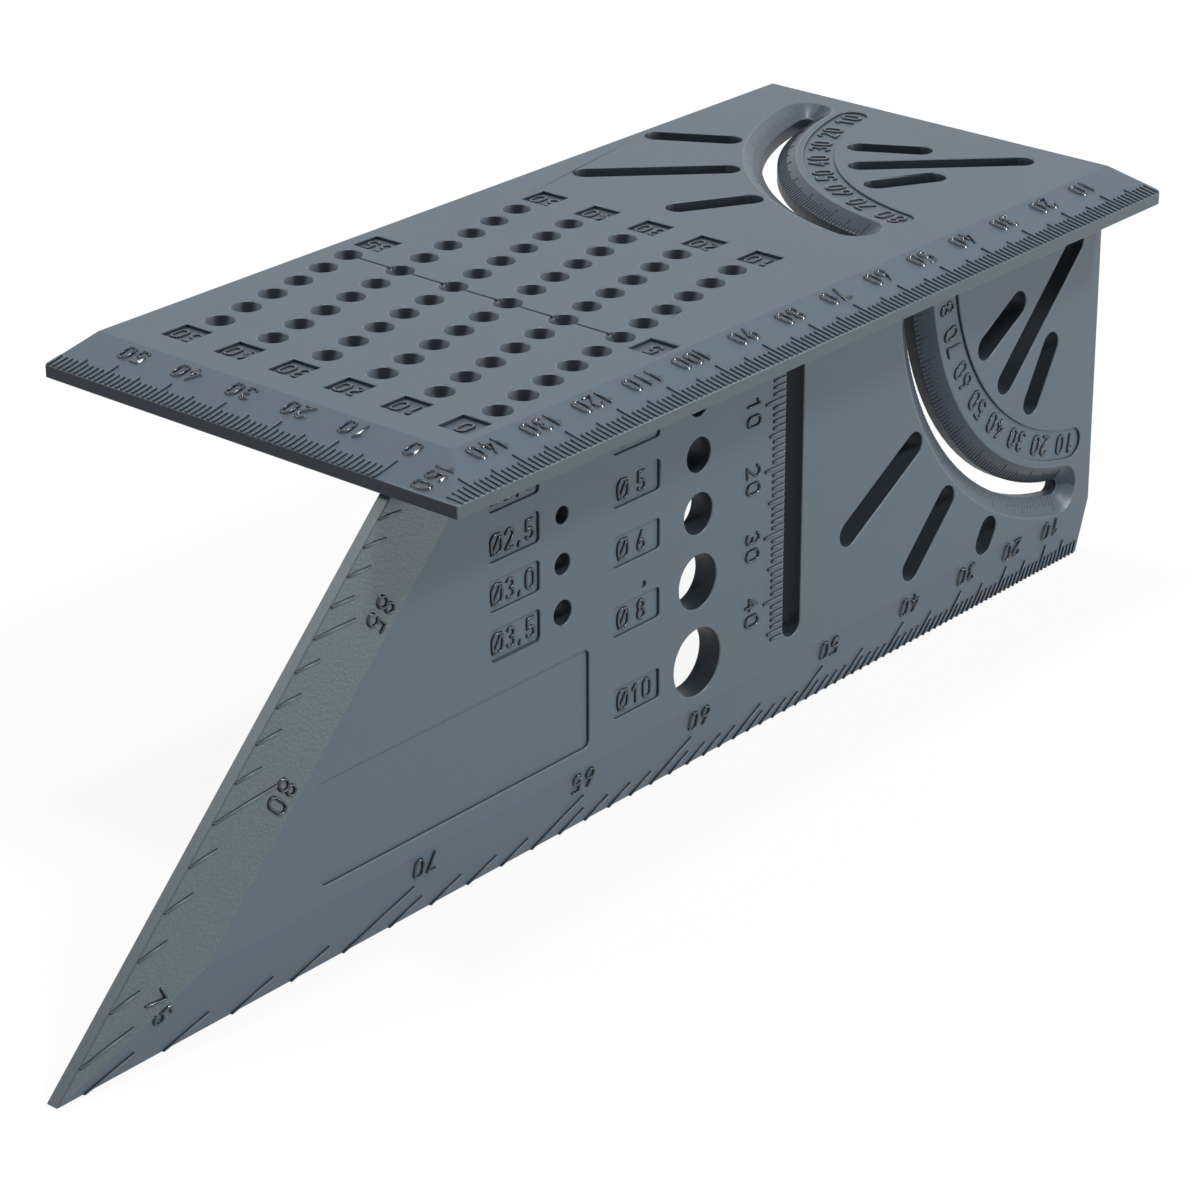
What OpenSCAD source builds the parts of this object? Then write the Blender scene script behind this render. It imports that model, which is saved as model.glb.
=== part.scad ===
// Multi-angle marking ruler: a rigid L of moulded plastic that hooks over the edge of a workpiece.
// The top leaf carries pencil holes, a protractor and two millimetre scales.
// The side leaf carries a drill gauge, a depth scale, a second protractor and an angle scale.
// The origin is the inner corner of the L at its right end, which is the zero of every scale.
// X runs along the ruler, with the body on the negative side, Y runs back over the workpiece,
// and Z is up, with zero on the underside of the top leaf.

/* [Leaves] */
// Length of the top leaf along the workpiece edge
top_length = 155; // [153:0.5:175]
// Reach of the top leaf behind the stop face
top_depth = 59.5; // [59.3:0.1:69]
// Reach of the top leaf in front of the stop face
lip_depth = 14; // [12.5:0.5:20]
// Height of the side leaf under the top leaf
side_drop = 60; // [59:0.5:66]
// Angle of the slanted end against the bottom edge
slant_angle = 45; // [40:1:48]
// Distance of the slanted end from the left end of the top leaf, under the top leaf
slant_inset = 1.5; // [0:0.1:1.5]
// Wall thickness of both leaves
wall = 3.8; // [3:0.1:5]
// Radius of the front corner of the top leaf
corner_r = 1; // [0.5:0.1:2]

/* [Edge bevels] */
// Width of the bevel under each edge scale
bevel_w = 9.7; // [9:0.1:12]
// Thickness left at a bevelled edge
edge_t = 1.9; // [1.2:0.1:2.4]

/* [Pencil holes] */
// Spacing of the holes along the ruler
hole_step_x = 6; // [5:0.1:6.2]
// Step of each hole away from the edge
hole_step_y = 1; // [0.8:0.05:1.2]
// Distance of the first hole of each row from the left end
hole_start_gap = 23; // [22:0.5:29]
// Width kept free of holes beside the right end
hole_free_w = 70; // [68:0.5:72]
// Spacing of the rows
row_pitch = 10; // [9:0.1:10.5]
// Width kept free between the last row label and the far edge
row_edge_gap = 1; // [0.5:0.1:2]
// Diameter at the top of the pencil cone
hole_top_d = 4.35; // [3:0.05:4.6]
// Diameter of the pencil point hole
hole_d = 1.6; // [1:0.1:2.4]
// Depth of the pencil cone
hole_cone_h = 2.4; // [1.5:0.1:2.8]
// Width of the engraved guide lines between the holes
guide_line_w = 0.4; // [0.2:0.05:0.8]

/* [Row labels] */
// Side of a row label pocket
row_pocket = 5; // [4.6:0.1:5.4]
// Gap between the end hole of a row and its label centre
row_label_gap = 6.2; // [5.5:0.1:7]
// Gap between the middle hole of the first row and its label centre
middle_label_gap = 5.8; // [5.2:0.1:6.5]
// Height of the row numerals
row_text_h = 3.2; // [2.5:0.1:3.4]
// Depth of the row label pockets
row_recess = 0.6; // [0.3:0.05:0.8]

/* [Protractor] */
// Radius of the numeral band's inner edge
band_inner_r = 37.5; // [37:0.1:38]
// Width of the numeral band
band_w = 4.7; // [4.2:0.1:5]
// Radius of the protractor slot's centre line
arc_r = 47.2; // [47:0.1:47.6]
// Width of the arc groove at the surface
arc_groove_w = 8; // [6.5:0.1:8.2]
// Width of the through slot at the bottom of the groove
arc_slot_w = 2.3; // [1.5:0.1:3]
// Depth of the sloping groove flanks
arc_groove_h = 1.7; // [1:0.1:2.4]
// Height of the protractor numerals
arc_text_h = 3.3; // [2.5:0.1:3.6]
// First protractor numeral
first_numeral_angle = 10; // [10:10:20]
// Last protractor numeral
last_numeral_angle = 80; // [70:10:80]
// Overtravel of the slot past its first and last numeral, in degrees
slot_over_angle = 0.5; // [0.2:0.1:1]
// Overtravel of the numeral band past its first and last numeral, in degrees
band_over_angle = 2; // [1.5:0.1:2.5]

/* [Radial slots] */
// Width of the radial slots
ray_slot_w = 4; // [3:0.1:4.5]
// Outer tip radius of the slots inside the numeral band
ray_inside_end = 35.8; // [34:0.1:36.5]
// Inner tip radius of the short slots inside the band
ray_short_start = 22.8; // [21:0.1:26]
// Inner tip radius of the long slot inside the band
ray_long_start = 7.6; // [7:0.1:12]
// Inner tip radius of the slots outside the arc
ray_outside_start = 51.9; // [51.8:0.1:53]
// Outer tip radius of the top leaf's outside slot at 30 degrees
top_ray_30 = 67; // [57:0.1:67.2]
// Outer tip radius of the top leaf's outside slot at 45 degrees
top_ray_45 = 77; // [57:0.1:80]
// Outer tip radius of the top leaf's outside slot at 60 degrees
top_ray_60 = 67; // [57:0.1:69]
// Outer tip radius of the side leaf's outside slot at 30 degrees
side_ray_30 = 58; // [56.5:0.1:58.5]
// Outer tip radius of the side leaf's outside slot at 45 degrees
side_ray_45 = 67.7; // [57:0.1:70]
// Outer tip radius of the side leaf's outside slot at 60 degrees
side_ray_60 = 73.5; // [57:0.1:78]

/* [Depth scale] */
// Distance of the upright slot from the right end
depth_slot_u = 75; // [73:0.5:77]
// Width of the upright slot
depth_slot_w = 4; // [3:0.1:4.5]
// Depth of the slot's upper tip under the top leaf
depth_slot_top = 3; // [2:0.1:5]
// Depth of the slot's lower tip under the top leaf
depth_slot_end = 47.2; // [46:0.1:48]
// Length of the depth scale
depth_scale_h = 46; // [41:1:46]
// Distance of the depth numerals from the slot's centre
depth_text_gap = 9.2; // [8.8:0.1:10]
// Height of the depth numerals
depth_text_h = 3.2; // [2.6:0.1:3.5]

/* [Drill gauge] */
// Distance of the large holes from the right end
large_column_u = 96; // [94:0.5:97]
// Diameter of the first large hole, next to the top leaf
large_bore_1 = 4; // [3.5:0.5:4.5]
// Diameter of the second large hole
large_bore_2 = 5; // [4.5:0.5:5.5]
// Diameter of the third large hole
large_bore_3 = 6; // [5.5:0.5:6.5]
// Diameter of the fourth large hole
large_bore_4 = 8; // [7.5:0.5:8.5]
// Diameter of the last large hole
large_bore_5 = 10; // [9:0.5:11]
// Depth of the first large hole's centre under the top leaf
large_first_v = 5.2; // [4:0.1:5.8]
// Web left between neighbouring large holes
large_web = 3.1; // [2:0.1:3.5]
// Distance of the small holes from the right end
small_column_u = 124; // [122:0.5:126]
// Diameter of the first small hole, next to the top leaf
small_bore_1 = 2; // [1:0.5:4]
// Diameter of the second small hole
small_bore_2 = 2.5; // [1:0.5:4]
// Diameter of the third small hole
small_bore_3 = 3; // [1:0.5:4]
// Diameter of the last small hole
small_bore_4 = 3.5; // [1:0.5:4]
// Depth of the first small hole's centre under the top leaf
small_first_v = 5.4; // [4:0.1:6]
// Spacing of the small gauge holes
small_pitch = 6.95; // [5.5:0.05:7]
// Width of a gauge label pocket
gauge_pocket_w = 9.6; // [9.2:0.1:10]
// Height of a gauge label pocket
gauge_pocket_h = 4.4; // [4:0.1:4.8]
// Corner radius of a gauge label pocket
gauge_pocket_r = 0.6; // [0.3:0.1:1]
// Distance of the large holes' labels from their column
large_label_gap = 13; // [12.5:0.1:14]
// Distance of the small holes' labels from their column
small_label_gap = 9.3; // [8.5:0.1:10]
// Height of the gauge numerals
gauge_text_h = 3.1; // [2.4:0.1:3.4]

/* [Bare panel] */
// Distance of the panel's near end from the right end
panel_u = 118.8; // [117:0.1:121]
// Depth of the panel's upper edge under the top leaf
panel_v = 33.3; // [33:0.1:34.5]
// Length of the panel
panel_w = 51.4; // [40:0.1:53]
// Height of the panel
panel_h = 14.4; // [10:0.1:15]
// Corner radius of the panel
panel_r = 1; // [0.4:0.1:3]

/* [Mould mark] */
// Distance of the small round mark from the right end
mould_mark_u = 107.5; // [105:0.1:112]
// Depth of the mark under the top leaf
mould_mark_v = 27.9; // [25.5:0.1:28]
// Diameter of the mark
mould_mark_d = 1; // [0.6:0.1:1.5]

/* [Angle scale] */
// Height of the short angle marks above the bottom edge
angle_tick_short = 2.3; // [1.5:0.1:2.8]
// Height of the five degree marks above the bottom edge
angle_tick_mid = 3.8; // [3:0.1:4.2]
// Height of the ten degree marks above the bottom edge
angle_tick_long = 4.6; // [4.3:0.1:5]
// Reach of the degree marks in from the slanted edge
slant_tick_short = 2.5; // [1.5:0.1:3]
// Reach of the five degree marks in from the slanted edge
slant_tick_mid = 4.3; // [4:0.1:5]
// Reach of the ten degree mark in from the slanted edge
slant_tick_long = 5.8; // [5:0.1:6]
// Distance of the angle numerals from the bottom edge
angle_text_gap = 7.4; // [6.9:0.1:7.7]
// Height over the bottom edge at which the rays meet the middle of their numerals
angle_text_foot = 5.15; // [4.5:0.05:6]
// Distance of the angle numerals from the slanted edge
slant_text_gap = 7.3; // [6.8:0.1:7.5]
// Distance of the lowest of them from the slanted edge
low_text_gap = 6.3; // [6:0.1:6.8]
// Height of the angle numerals
angle_text_h = 3.2; // [2.6:0.1:3.4]

/* [Millimetre scales] */
// Spacing of the graduations
mark_pitch = 1; // [0.95:0.01:1.05]
// Length of the short millimetre marks
tick_short = 2.6; // [1.8:0.1:2.9]
// Length of the five millimetre marks
tick_mid = 3.4; // [3:0.1:3.8]
// Length of the ten millimetre marks
tick_long = 4.3; // [3.9:0.1:4.6]
// Distance of the edge numerals from their edge
edge_text_gap = 7.2; // [7:0.1:7.9]
// Distance of the first digit of a front edge numeral from its mark, towards the right end
edge_text_lead = 0.8; // [0.5:0.1:1.2]
// Height of the edge numerals
edge_text_h = 3.1; // [2.4:0.1:3.4]

/* [Lettering and relief] */
// Height of the raised marks over the surface
relief = 0.25; // [0.15:0.05:0.4]
// Height of the raised numerals over the surface
text_relief = 0.35; // [0.2:0.05:0.4]
// Depth of the recessed label fields
recess = 0.4; // [0.2:0.05:0.6]
// Width of the raised marks
tick_w = 0.42; // [0.3:0.02:0.5]
// Stroke width of the numerals
stroke_w = 0.45; // [0.3:0.05:0.55]

/* [Hidden] */
$fn = 48;

// Overrun of every cut past the face that it opens
cut_over = 0.5;
// Clear width left between two millimetre marks and what they stop short of
mark_gap = 0.3;
plastic = "#66707a";
plastic_mark = "#737d87";

ray_angles = [30, 45, 60];
top_ray_ends = [top_ray_30, top_ray_45, top_ray_60];
side_ray_ends = [side_ray_30, side_ray_45, side_ray_60];
major_every = 10;
minor_every = 5;
quarter_turn = 90;
half_turn = 180;
full_turn = 360;

// Length of the side leaf under the top leaf, and of its bottom edge, out to the tip
side_top_length = top_length - slant_inset;
side_length = side_top_length + side_drop / tan(slant_angle);
// A length that is larger than the leaves in every direction
reach = side_length + side_drop;
large_bores = [large_bore_1, large_bore_2, large_bore_3, large_bore_4, large_bore_5];
small_bores = [small_bore_1, small_bore_2, small_bore_3, small_bore_4];
large_count = len(large_bores);
small_count = len(small_bores);

// Room that a character takes along the line, as a share of the text height
digit_share = 0.8;
narrow_share = 0.43;
space_share = 0.4;
comma_share = 0.44;
diameter_share = 0.84;
// Numeral strokes on a grid one text height tall, centred on the character.
// Straight strokes are [x, y, x, y], in the order 0 to 9, comma, diameter sign, narrow one, space.
line_shares = [
    [[-0.23, -0.2, -0.23, 0.2], [0.23, -0.2, 0.23, 0.2]],
    [[0.06, -0.43, 0.06, 0.43], [-0.15, 0.22, 0.06, 0.43]],
    [[0.19, 0.08, -0.23, -0.43], [-0.23, -0.43, 0.23, -0.43]],
    [],
    [[0.08, 0.43, -0.25, -0.16], [-0.25, -0.16, 0.25, -0.16], [0.09, 0.08, 0.09, -0.43]],
    [[-0.17, 0.43, 0.2, 0.43], [-0.17, 0.43, -0.18, -0.03]],
    [[-0.21, -0.1, 0.06, 0.43]],
    [[-0.23, 0.43, 0.23, 0.43], [0.23, 0.43, -0.07, -0.43]],
    [],
    [[0.21, 0.1, -0.06, -0.43]],
    [[0, -0.36, -0.07, -0.53]],
    [[-0.33, -0.12, -0.33, 0.12], [0.33, -0.12, 0.33, 0.12], [-0.27, -0.42, 0.27, 0.42]],
    [[0.06, -0.43, 0.06, 0.43], [-0.15, 0.22, 0.06, 0.43]],
    []
];
// Round strokes are [x, y, radius, start angle, sweep], in the same order
arc_shares = [
    [[0, 0.2, 0.23, 0, 180], [0, -0.2, 0.23, 180, 180]],
    [],
    [[0, 0.2, 0.23, -32, 200]],
    [[0, 0.22, 0.21, -90, 240], [0, -0.21, 0.22, -150, 240]],
    [],
    [[0, -0.19, 0.24, -150, 290]],
    [[0, -0.2, 0.23, 0, 360]],
    [],
    [[0, 0.23, 0.2, 0, 360], [0, -0.2, 0.23, 0, 360]],
    [[0, 0.2, 0.23, 0, 360]],
    [],
    [[0, 0.12, 0.33, 0, 180], [0, -0.12, 0.33, 180, 180]],
    [],
    []
];
characters = "0123456789,DI ";

// Sum of the first n entries of a list
function sum(list, n) = n == 0 ? 0 : list[n - 1] + sum(list, n - 1);

// Room of one character as a share of the text height
special_shares = [["I", narrow_share], [" ", space_share], [",", comma_share], ["D", diameter_share]];
function room(c) =
    let (found = [for (pair = special_shares) if (pair[0] == c) pair[1]])
    len(found) > 0 ? found[0] : digit_share;

// Centre of each large gauge hole, with an even web between neighbours
function large_v(i) =
    large_first_v + i * large_web + sum(large_bores, i) + (large_bores[i] - large_bores[0]) / 2;

// Centre of each small gauge hole
function small_v(i) = small_first_v + i * small_pitch;

// Whole steps in a length. The small share keeps a length of whole steps whole.
whole_share = 0.01;
function steps_in(length, step) = floor(length / step + whole_share);
function marks_in(length) = steps_in(length, mark_pitch);

// Length of a millimetre mark, which tells tens and fives from the rest
function mark_length(i) =
    i % major_every == 0 ? tick_long : i % minor_every == 0 ? tick_mid : tick_short;

// Height of a mark of the angle scale over the bottom edge
function angle_mark(a) =
    a % major_every == 0 || a > last_tens_angle && a % minor_every == 0
        ? angle_tick_long
        : a % minor_every == 0 ? angle_tick_mid : angle_tick_short;

// Reach of a mark in from the slanted edge
function slant_mark(a) =
    a % major_every == 0 ? slant_tick_long : a % minor_every == 0 ? slant_tick_mid : slant_tick_short;

// Last degree whose ray meets the bottom edge, and the last ten degrees with a long run after it
last_bottom_angle = floor(atan(side_length / side_drop));
last_tens_angle = 60;
first_slant_angle = last_bottom_angle + 1;
last_slant_angle = 89;

// Distance from the pivot along a ray to the slanted edge, less a reach square to that edge
function slant_ray(a, inset) =
    (side_top_length * sin(slant_angle) - inset) / sin(a + slant_angle - quarter_turn);

// Working frames. On the top leaf x runs left from the right end, y back from the stop face and
// z up from the top face. The lettering frame is the same place without the mirror.
module top_frame() translate([0, 0, wall]) mirror([1, 0, 0]) children();
module top_text_frame() translate([0, 0, wall]) children();

// On the side leaf x runs left from the right end, y down and z out of the outer face
module side_frame() translate([0, -wall, 0]) rotate([quarter_turn, 0, 0]) rotate(half_turn) children();

// Outer shapes of the leaves, with their outer faces at z = 0 of their frames
module top_blank() {
    difference() {
        intersection() {
            rotate([quarter_turn, 0, quarter_turn]) linear_extrude(top_length) polygon([
                [-lip_depth, -wall], [top_depth, -wall], [top_depth, 0],
                [bevel_w - lip_depth, 0], [-lip_depth, edge_t - wall]
            ]);
            translate([0, top_depth, 0]) rotate([quarter_turn, 0, 0])
                linear_extrude(top_depth + lip_depth) polygon([
                    [0, -wall], [top_length, -wall], [top_length, edge_t - wall],
                    [top_length - bevel_w, 0], [0, 0]
                ]);
        }
        // Rounded front corner at the right end
        translate([0, -lip_depth, -wall - cut_over]) difference() {
            translate([-cut_over, -cut_over, 0])
                cube([corner_r + cut_over, corner_r + cut_over, wall + 2 * cut_over]);
            translate([corner_r, corner_r, -cut_over]) cylinder(h = wall + 4 * cut_over, r = corner_r);
        }
    }
}

module side_blank() {
    intersection() {
        rotate([quarter_turn, 0, quarter_turn]) linear_extrude(side_length) polygon([
            [0, -wall], [side_drop, -wall], [side_drop, edge_t - wall], [side_drop - bevel_w, 0], [0, 0]
        ]);
        translate([side_top_length, 0, 0]) rotate(slant_angle) translate([-reach, 0, 0])
            rotate([quarter_turn, 0, quarter_turn]) linear_extrude(2 * reach) polygon([
                [0, -wall], [reach, -wall], [reach, 0], [bevel_w, 0], [0, edge_t - wall]
            ]);
    }
}

// Keeps the part of its children that lies in the raised layer over a leaf's outer face
module raised_on_top(height) intersection() {
    difference() {
        translate([0, 0, height]) top_blank();
        top_blank();
    }
    children();
}

module raised_on_side(height) intersection() {
    difference() {
        translate([0, 0, height]) side_blank();
        side_blank();
    }
    children();
}

// A bar that stands across the raised layer, from y = 0 out to the given length
module mark_bar(length) translate([-tick_w / 2, 0, -wall]) cube([tick_w, length, wall + relief + cut_over]);

// A bar on the ray at the given angle from the y axis, between two distances from the origin
module ray_bar(angle, near, far) rotate(-angle) translate([0, near, 0]) mark_bar(far - near);

// Turns its children on the ray at an angle of the protractor, at a distance from the pivot
module on_ray(angle, distance) rotate(-angle) translate([0, distance, 0]) children();

// One character in raised strokes, centred, with its base at z = 0
module character(c, height, thickness) {
    index = search(c, characters)[0];
    for (s = line_shares[index]) {
        run = [s[2] - s[0], s[3] - s[1]] * height;
        translate([s[0] * height, s[1] * height, 0]) rotate(atan2(run[1], run[0]))
            translate([-stroke_w / 2, -stroke_w / 2, 0]) cube([norm(run) + stroke_w, stroke_w, thickness]);
    }
    for (s = arc_shares[index])
        translate([s[0] * height, s[1] * height, 0]) rotate(s[3]) rotate_extrude(angle = s[4])
            translate([s[2] * height - stroke_w / 2, 0]) square([stroke_w, thickness]);
}

// A line of characters, read along x. It is centred on the origin, or else its first character is.
module lettering(text_value, height, thickness, from_first = false) {
    rooms = [for (c = text_value) room(c) * height];
    start = from_first ? rooms[0] : sum(rooms, len(rooms));
    for (i = [0 : len(rooms) - 1])
        translate([sum(rooms, i) + (rooms[i] - start) / 2, 0, 0])
            character(text_value[i], height, thickness);
}

// A field with round corners, centred, cut down to the given depth
module field(size, radius, depth) translate([0, 0, -depth]) {
    translate([-size[0] / 2 + radius, -size[1] / 2, 0])
        cube([size[0] - 2 * radius, size[1], depth + cut_over]);
    translate([-size[0] / 2, -size[1] / 2 + radius, 0])
        cube([size[0], size[1] - 2 * radius, depth + cut_over]);
    for (x = [-1, 1], y = [-1, 1])
        translate([x * (size[0] / 2 - radius), y * (size[1] / 2 - radius), 0])
            cylinder(h = depth + cut_over, r = radius);
}

// A through slot with round ends along y, between two tips
module slot(width, near, far) translate([0, 0, -wall - cut_over]) {
    depth = wall + 2 * cut_over;
    translate([-width / 2, near + width / 2, 0]) cube([width, far - near - width, depth]);
    for (y = [near + width / 2, far - width / 2])
        translate([0, y, 0]) cylinder(h = depth, d = width);
}

// Cuts of the protractor, which are alike on both leaves
band_r = band_inner_r + band_w / 2;
module protractor_cuts() {
    // Numeral band, closed by round ends
    band_first = first_numeral_angle - band_over_angle;
    band_sweep = last_numeral_angle - first_numeral_angle + 2 * band_over_angle;
    rotate(band_first) rotate_extrude(angle = band_sweep)
        translate([band_inner_r, -recess]) square([band_w, recess + cut_over]);
    for (a = [band_first, band_first + band_sweep])
        on_ray(a, band_r) translate([0, 0, -recess]) cylinder(h = recess + cut_over, d = band_w);
    // Groove with sloping flanks and a through slot at its bottom
    slot_first = first_numeral_angle - slot_over_angle;
    slot_sweep = last_numeral_angle - first_numeral_angle + 2 * slot_over_angle;
    rotate(slot_first) rotate_extrude(angle = slot_sweep) translate([arc_r, 0]) polygon([
        [-arc_groove_w / 2, 0], [-arc_slot_w / 2, -arc_groove_h], [-arc_slot_w / 2, -wall - cut_over],
        [arc_slot_w / 2, -wall - cut_over], [arc_slot_w / 2, -arc_groove_h], [arc_groove_w / 2, 0],
        [arc_groove_w / 2, cut_over], [-arc_groove_w / 2, cut_over]
    ]);
    // Funnels at the ends of the groove
    for (a = [slot_first, slot_first + slot_sweep])
        on_ray(a, arc_r) rotate_extrude() polygon([
            [0, -wall - cut_over], [arc_slot_w / 2, -wall - cut_over], [arc_slot_w / 2, -arc_groove_h],
            [arc_groove_w / 2, 0], [arc_groove_w / 2, cut_over], [0, cut_over]
        ]);
}

// Radial slots inside the numeral band and outside the arc
module ray_slots(outer_ends) {
    for (i = [0 : len(ray_angles) - 1]) {
        inside_start = i == 1 ? ray_long_start : ray_short_start;
        on_ray(ray_angles[i], 0) slot(ray_slot_w, inside_start, ray_inside_end);
        on_ray(ray_angles[i], 0) slot(ray_slot_w, ray_outside_start, outer_ends[i]);
    }
}

// Degree marks on both flanks of the arc groove
module protractor_ticks() {
    edge = arc_groove_w / 2;
    foot = arc_slot_w / 2;
    for (side = [-1, 1]) intersection() {
        rotate_extrude(angle = quarter_turn) translate([arc_r, 0]) polygon([
            [side * edge, 0], [side * foot, -arc_groove_h],
            [side * foot, relief - arc_groove_h], [side * (edge - relief), 0]
        ]);
        for (a = [first_numeral_angle : last_numeral_angle]) ray_bar(a, arc_r - edge, arc_r + edge);
    }
}

// Height of the numerals that stand in a sunk field, which stay under its edge
sunk_relief = min(relief, recess);
row_relief = min(relief, row_recess);

// Numerals of the protractor, in the sunk band, with their tops away from the pivot.
// The hand is 1 in a leaf's own frame and -1 in the unmirrored lettering frame of the top leaf.
module protractor_numerals(hand) translate([0, 0, -recess])
    for (a = [first_numeral_angle : major_every : last_numeral_angle])
        rotate(-hand * a) translate([0, band_r, 0]) lettering(str(a), arc_text_h, sunk_relief);

// A row of pencil holes steps once through the pitch of the rows, as far as the leaf has room.
// The last row is short, and ends at its middle hole.
hole_start = top_length - hole_start_gap;
row_holes = 1 + min(steps_in(row_pitch, hole_step_y), steps_in(hole_start - hole_free_w, hole_step_x));
middle_hole = floor(row_holes / 2);
middle_u = hole_start - middle_hole * hole_step_x;
whole_rows =
    steps_in(top_depth - row_edge_gap - row_pocket / 2 - middle_hole * hole_step_y, row_pitch);
function row_count(row) = row < whole_rows ? row_holes : middle_hole + 1;
function hole_u(i) = hole_start - i * hole_step_x;
function hole_y(row, i) = row * row_pitch + i * hole_step_y;

module pencil_hole() {
    translate([0, 0, -wall - cut_over]) cylinder(h = wall + 2 * cut_over, d = hole_d);
    translate([0, 0, -hole_cone_h]) cylinder(h = hole_cone_h, d1 = hole_d, d2 = hole_top_d);
    cylinder(h = cut_over, d = hole_top_d);
}

module pencil_holes() {
    for (row = [0 : whole_rows], i = [0 : row_count(row) - 1])
        translate([hole_u(i), hole_y(row, i), 0]) pencil_hole();
    for (row = [0 : whole_rows - 1])
        translate([middle_u - guide_line_w / 2, hole_y(row, middle_hole), -recess])
            cube([guide_line_w, row_pitch, recess + cut_over]);
}

// Places of the row labels as [distance from the right end, distance from the stop face, value]
function row_labels() = concat(
    [for (row = [0 : whole_rows]) [hole_start + row_label_gap, row * row_pitch, row * major_every]],
    [for (row = [1 : whole_rows])
        [hole_u(row_holes - 1) - row_label_gap, row * row_pitch, row * major_every]],
    [[middle_u, hole_y(0, middle_hole) - middle_label_gap, middle_hole]],
    [[hole_u(middle_hole + 1), hole_y(whole_rows, middle_hole), whole_rows * major_every + middle_hole]]
);

// The part of the top between two distances from the stop face, with its holes, fields and slots
module top_part(near, far) color(plastic) top_frame() difference() {
    intersection() {
        top_blank();
        translate([-cut_over, near, -wall - cut_over])
            cube([top_length + 2 * cut_over, far - near, wall + 2 * cut_over]);
    }
    pencil_holes();
    for (place = row_labels())
        translate([place[0] - row_pocket / 2, place[1] - row_pocket / 2, -row_recess])
            cube([row_pocket, row_pocket, row_recess + cut_over]);
    protractor_cuts();
    ray_slots(top_ray_ends);
}

// The top leaf lies on the workpiece, and the front lip stands out past the stop face
module top_leaf() top_part(0, top_depth + cut_over);
module front_lip() top_part(-lip_depth - cut_over, 0);

module side_leaf() color(plastic) side_frame() {
    difference() {
        side_blank();
        protractor_cuts();
        ray_slots(side_ray_ends);
        translate([depth_slot_u, 0, 0]) slot(depth_slot_w, depth_slot_top, depth_slot_end);
        for (i = [0 : large_count - 1]) {
            translate([large_column_u, large_v(i), -wall - cut_over])
                cylinder(h = wall + 2 * cut_over, d = large_bores[i]);
            translate([large_column_u + large_label_gap, large_v(i), 0])
                field([gauge_pocket_w, gauge_pocket_h], gauge_pocket_r, recess);
        }
        for (i = [0 : small_count - 1]) {
            translate([small_column_u, small_v(i), -wall - cut_over])
                cylinder(h = wall + 2 * cut_over, d = small_bores[i]);
            translate([small_column_u + small_label_gap, small_v(i), 0])
                field([gauge_pocket_w, gauge_pocket_h], gauge_pocket_r, recess);
        }
        translate([panel_u + panel_w / 2, panel_v + panel_h / 2, 0])
            field([panel_w, panel_h], panel_r, recess);
        translate([mould_mark_u, mould_mark_v, -recess]) cylinder(h = recess + cut_over, d = mould_mark_d);
    }
}

// Millimetre marks along the front edge, from the first millimetre to the left end
module long_scale_ticks() color(plastic_mark) top_frame() raised_on_top(relief)
    for (i = [1 : marks_in(top_length) - 1])
        translate([i * mark_pitch, -lip_depth, 0]) mark_bar(mark_length(i));

// The numerals start beside their marks. From one hundred on they start with a narrow one.
hundred = 100;
function long_text(i) =
    i < hundred ? str(i) : str("I", floor((i - hundred) / major_every), (i - hundred) % major_every);

module long_scale_numerals() color(plastic_mark) top_frame() raised_on_top(text_relief)
    mirror([1, 0, 0]) for (i = [major_every : major_every : marks_in(top_length) - 1])
        translate([edge_text_lead - i * mark_pitch, edge_text_gap - lip_depth, -wall]) rotate(half_turn)
            lettering(long_text(i), edge_text_h, wall + text_relief + cut_over, true);

// Millimetre marks along the left end, measured from the stop face
module end_scale_ticks() color(plastic_mark) top_frame() raised_on_top(relief)
    for (i = [0 : marks_in(top_depth)])
        if (i * mark_pitch < top_depth - mark_gap)
            translate([top_length, i * mark_pitch, 0]) rotate(quarter_turn) mark_bar(mark_length(i));

module end_scale_numerals() color(plastic_mark) top_frame() raised_on_top(text_relief)
    mirror([1, 0, 0]) for (i = [0 : major_every : marks_in(top_depth)])
        translate([edge_text_gap - top_length, i * mark_pitch, -wall]) rotate(quarter_turn)
            lettering(str(i), edge_text_h, wall + text_relief + cut_over);

module row_label_numerals() color(plastic_mark) top_text_frame()
    for (place = row_labels())
        translate([-place[0], place[1], -row_recess]) rotate(quarter_turn)
            lettering(str(place[2]), row_text_h, row_relief);

module top_protractor_ticks() color(plastic_mark) top_frame() protractor_ticks();
module top_protractor_numerals() color(plastic_mark) top_text_frame() protractor_numerals(-1);
module side_protractor_ticks() color(plastic_mark) side_frame() protractor_ticks();
module side_protractor_numerals() color(plastic_mark) side_frame() protractor_numerals(1);

// Marks beside the upright slot, measured down from the underside of the top leaf
module depth_scale_ticks() color(plastic_mark) side_frame()
    for (i = [1 : marks_in(depth_scale_h)])
        translate([depth_slot_u + depth_slot_w / 2 + mark_gap, i * mark_pitch - tick_w / 2, 0])
            cube([mark_length(i), tick_w, relief]);

// The depth numerals hang a little lower than their marks
depth_text_drop = 0.25;
module depth_scale_numerals() color(plastic_mark) side_frame()
    for (i = [major_every : major_every : marks_in(depth_scale_h)])
        translate([depth_slot_u + depth_text_gap, i * mark_pitch + depth_text_drop, 0])
            rotate(quarter_turn) lettering(str(i), depth_text_h, text_relief);

// Diameter labels beside the gauge holes, which read from below with the leaf hanging down
module gauge_label(text_value) translate([0, 0, -recess]) rotate(half_turn)
    lettering(text_value, gauge_text_h, sunk_relief);

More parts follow.
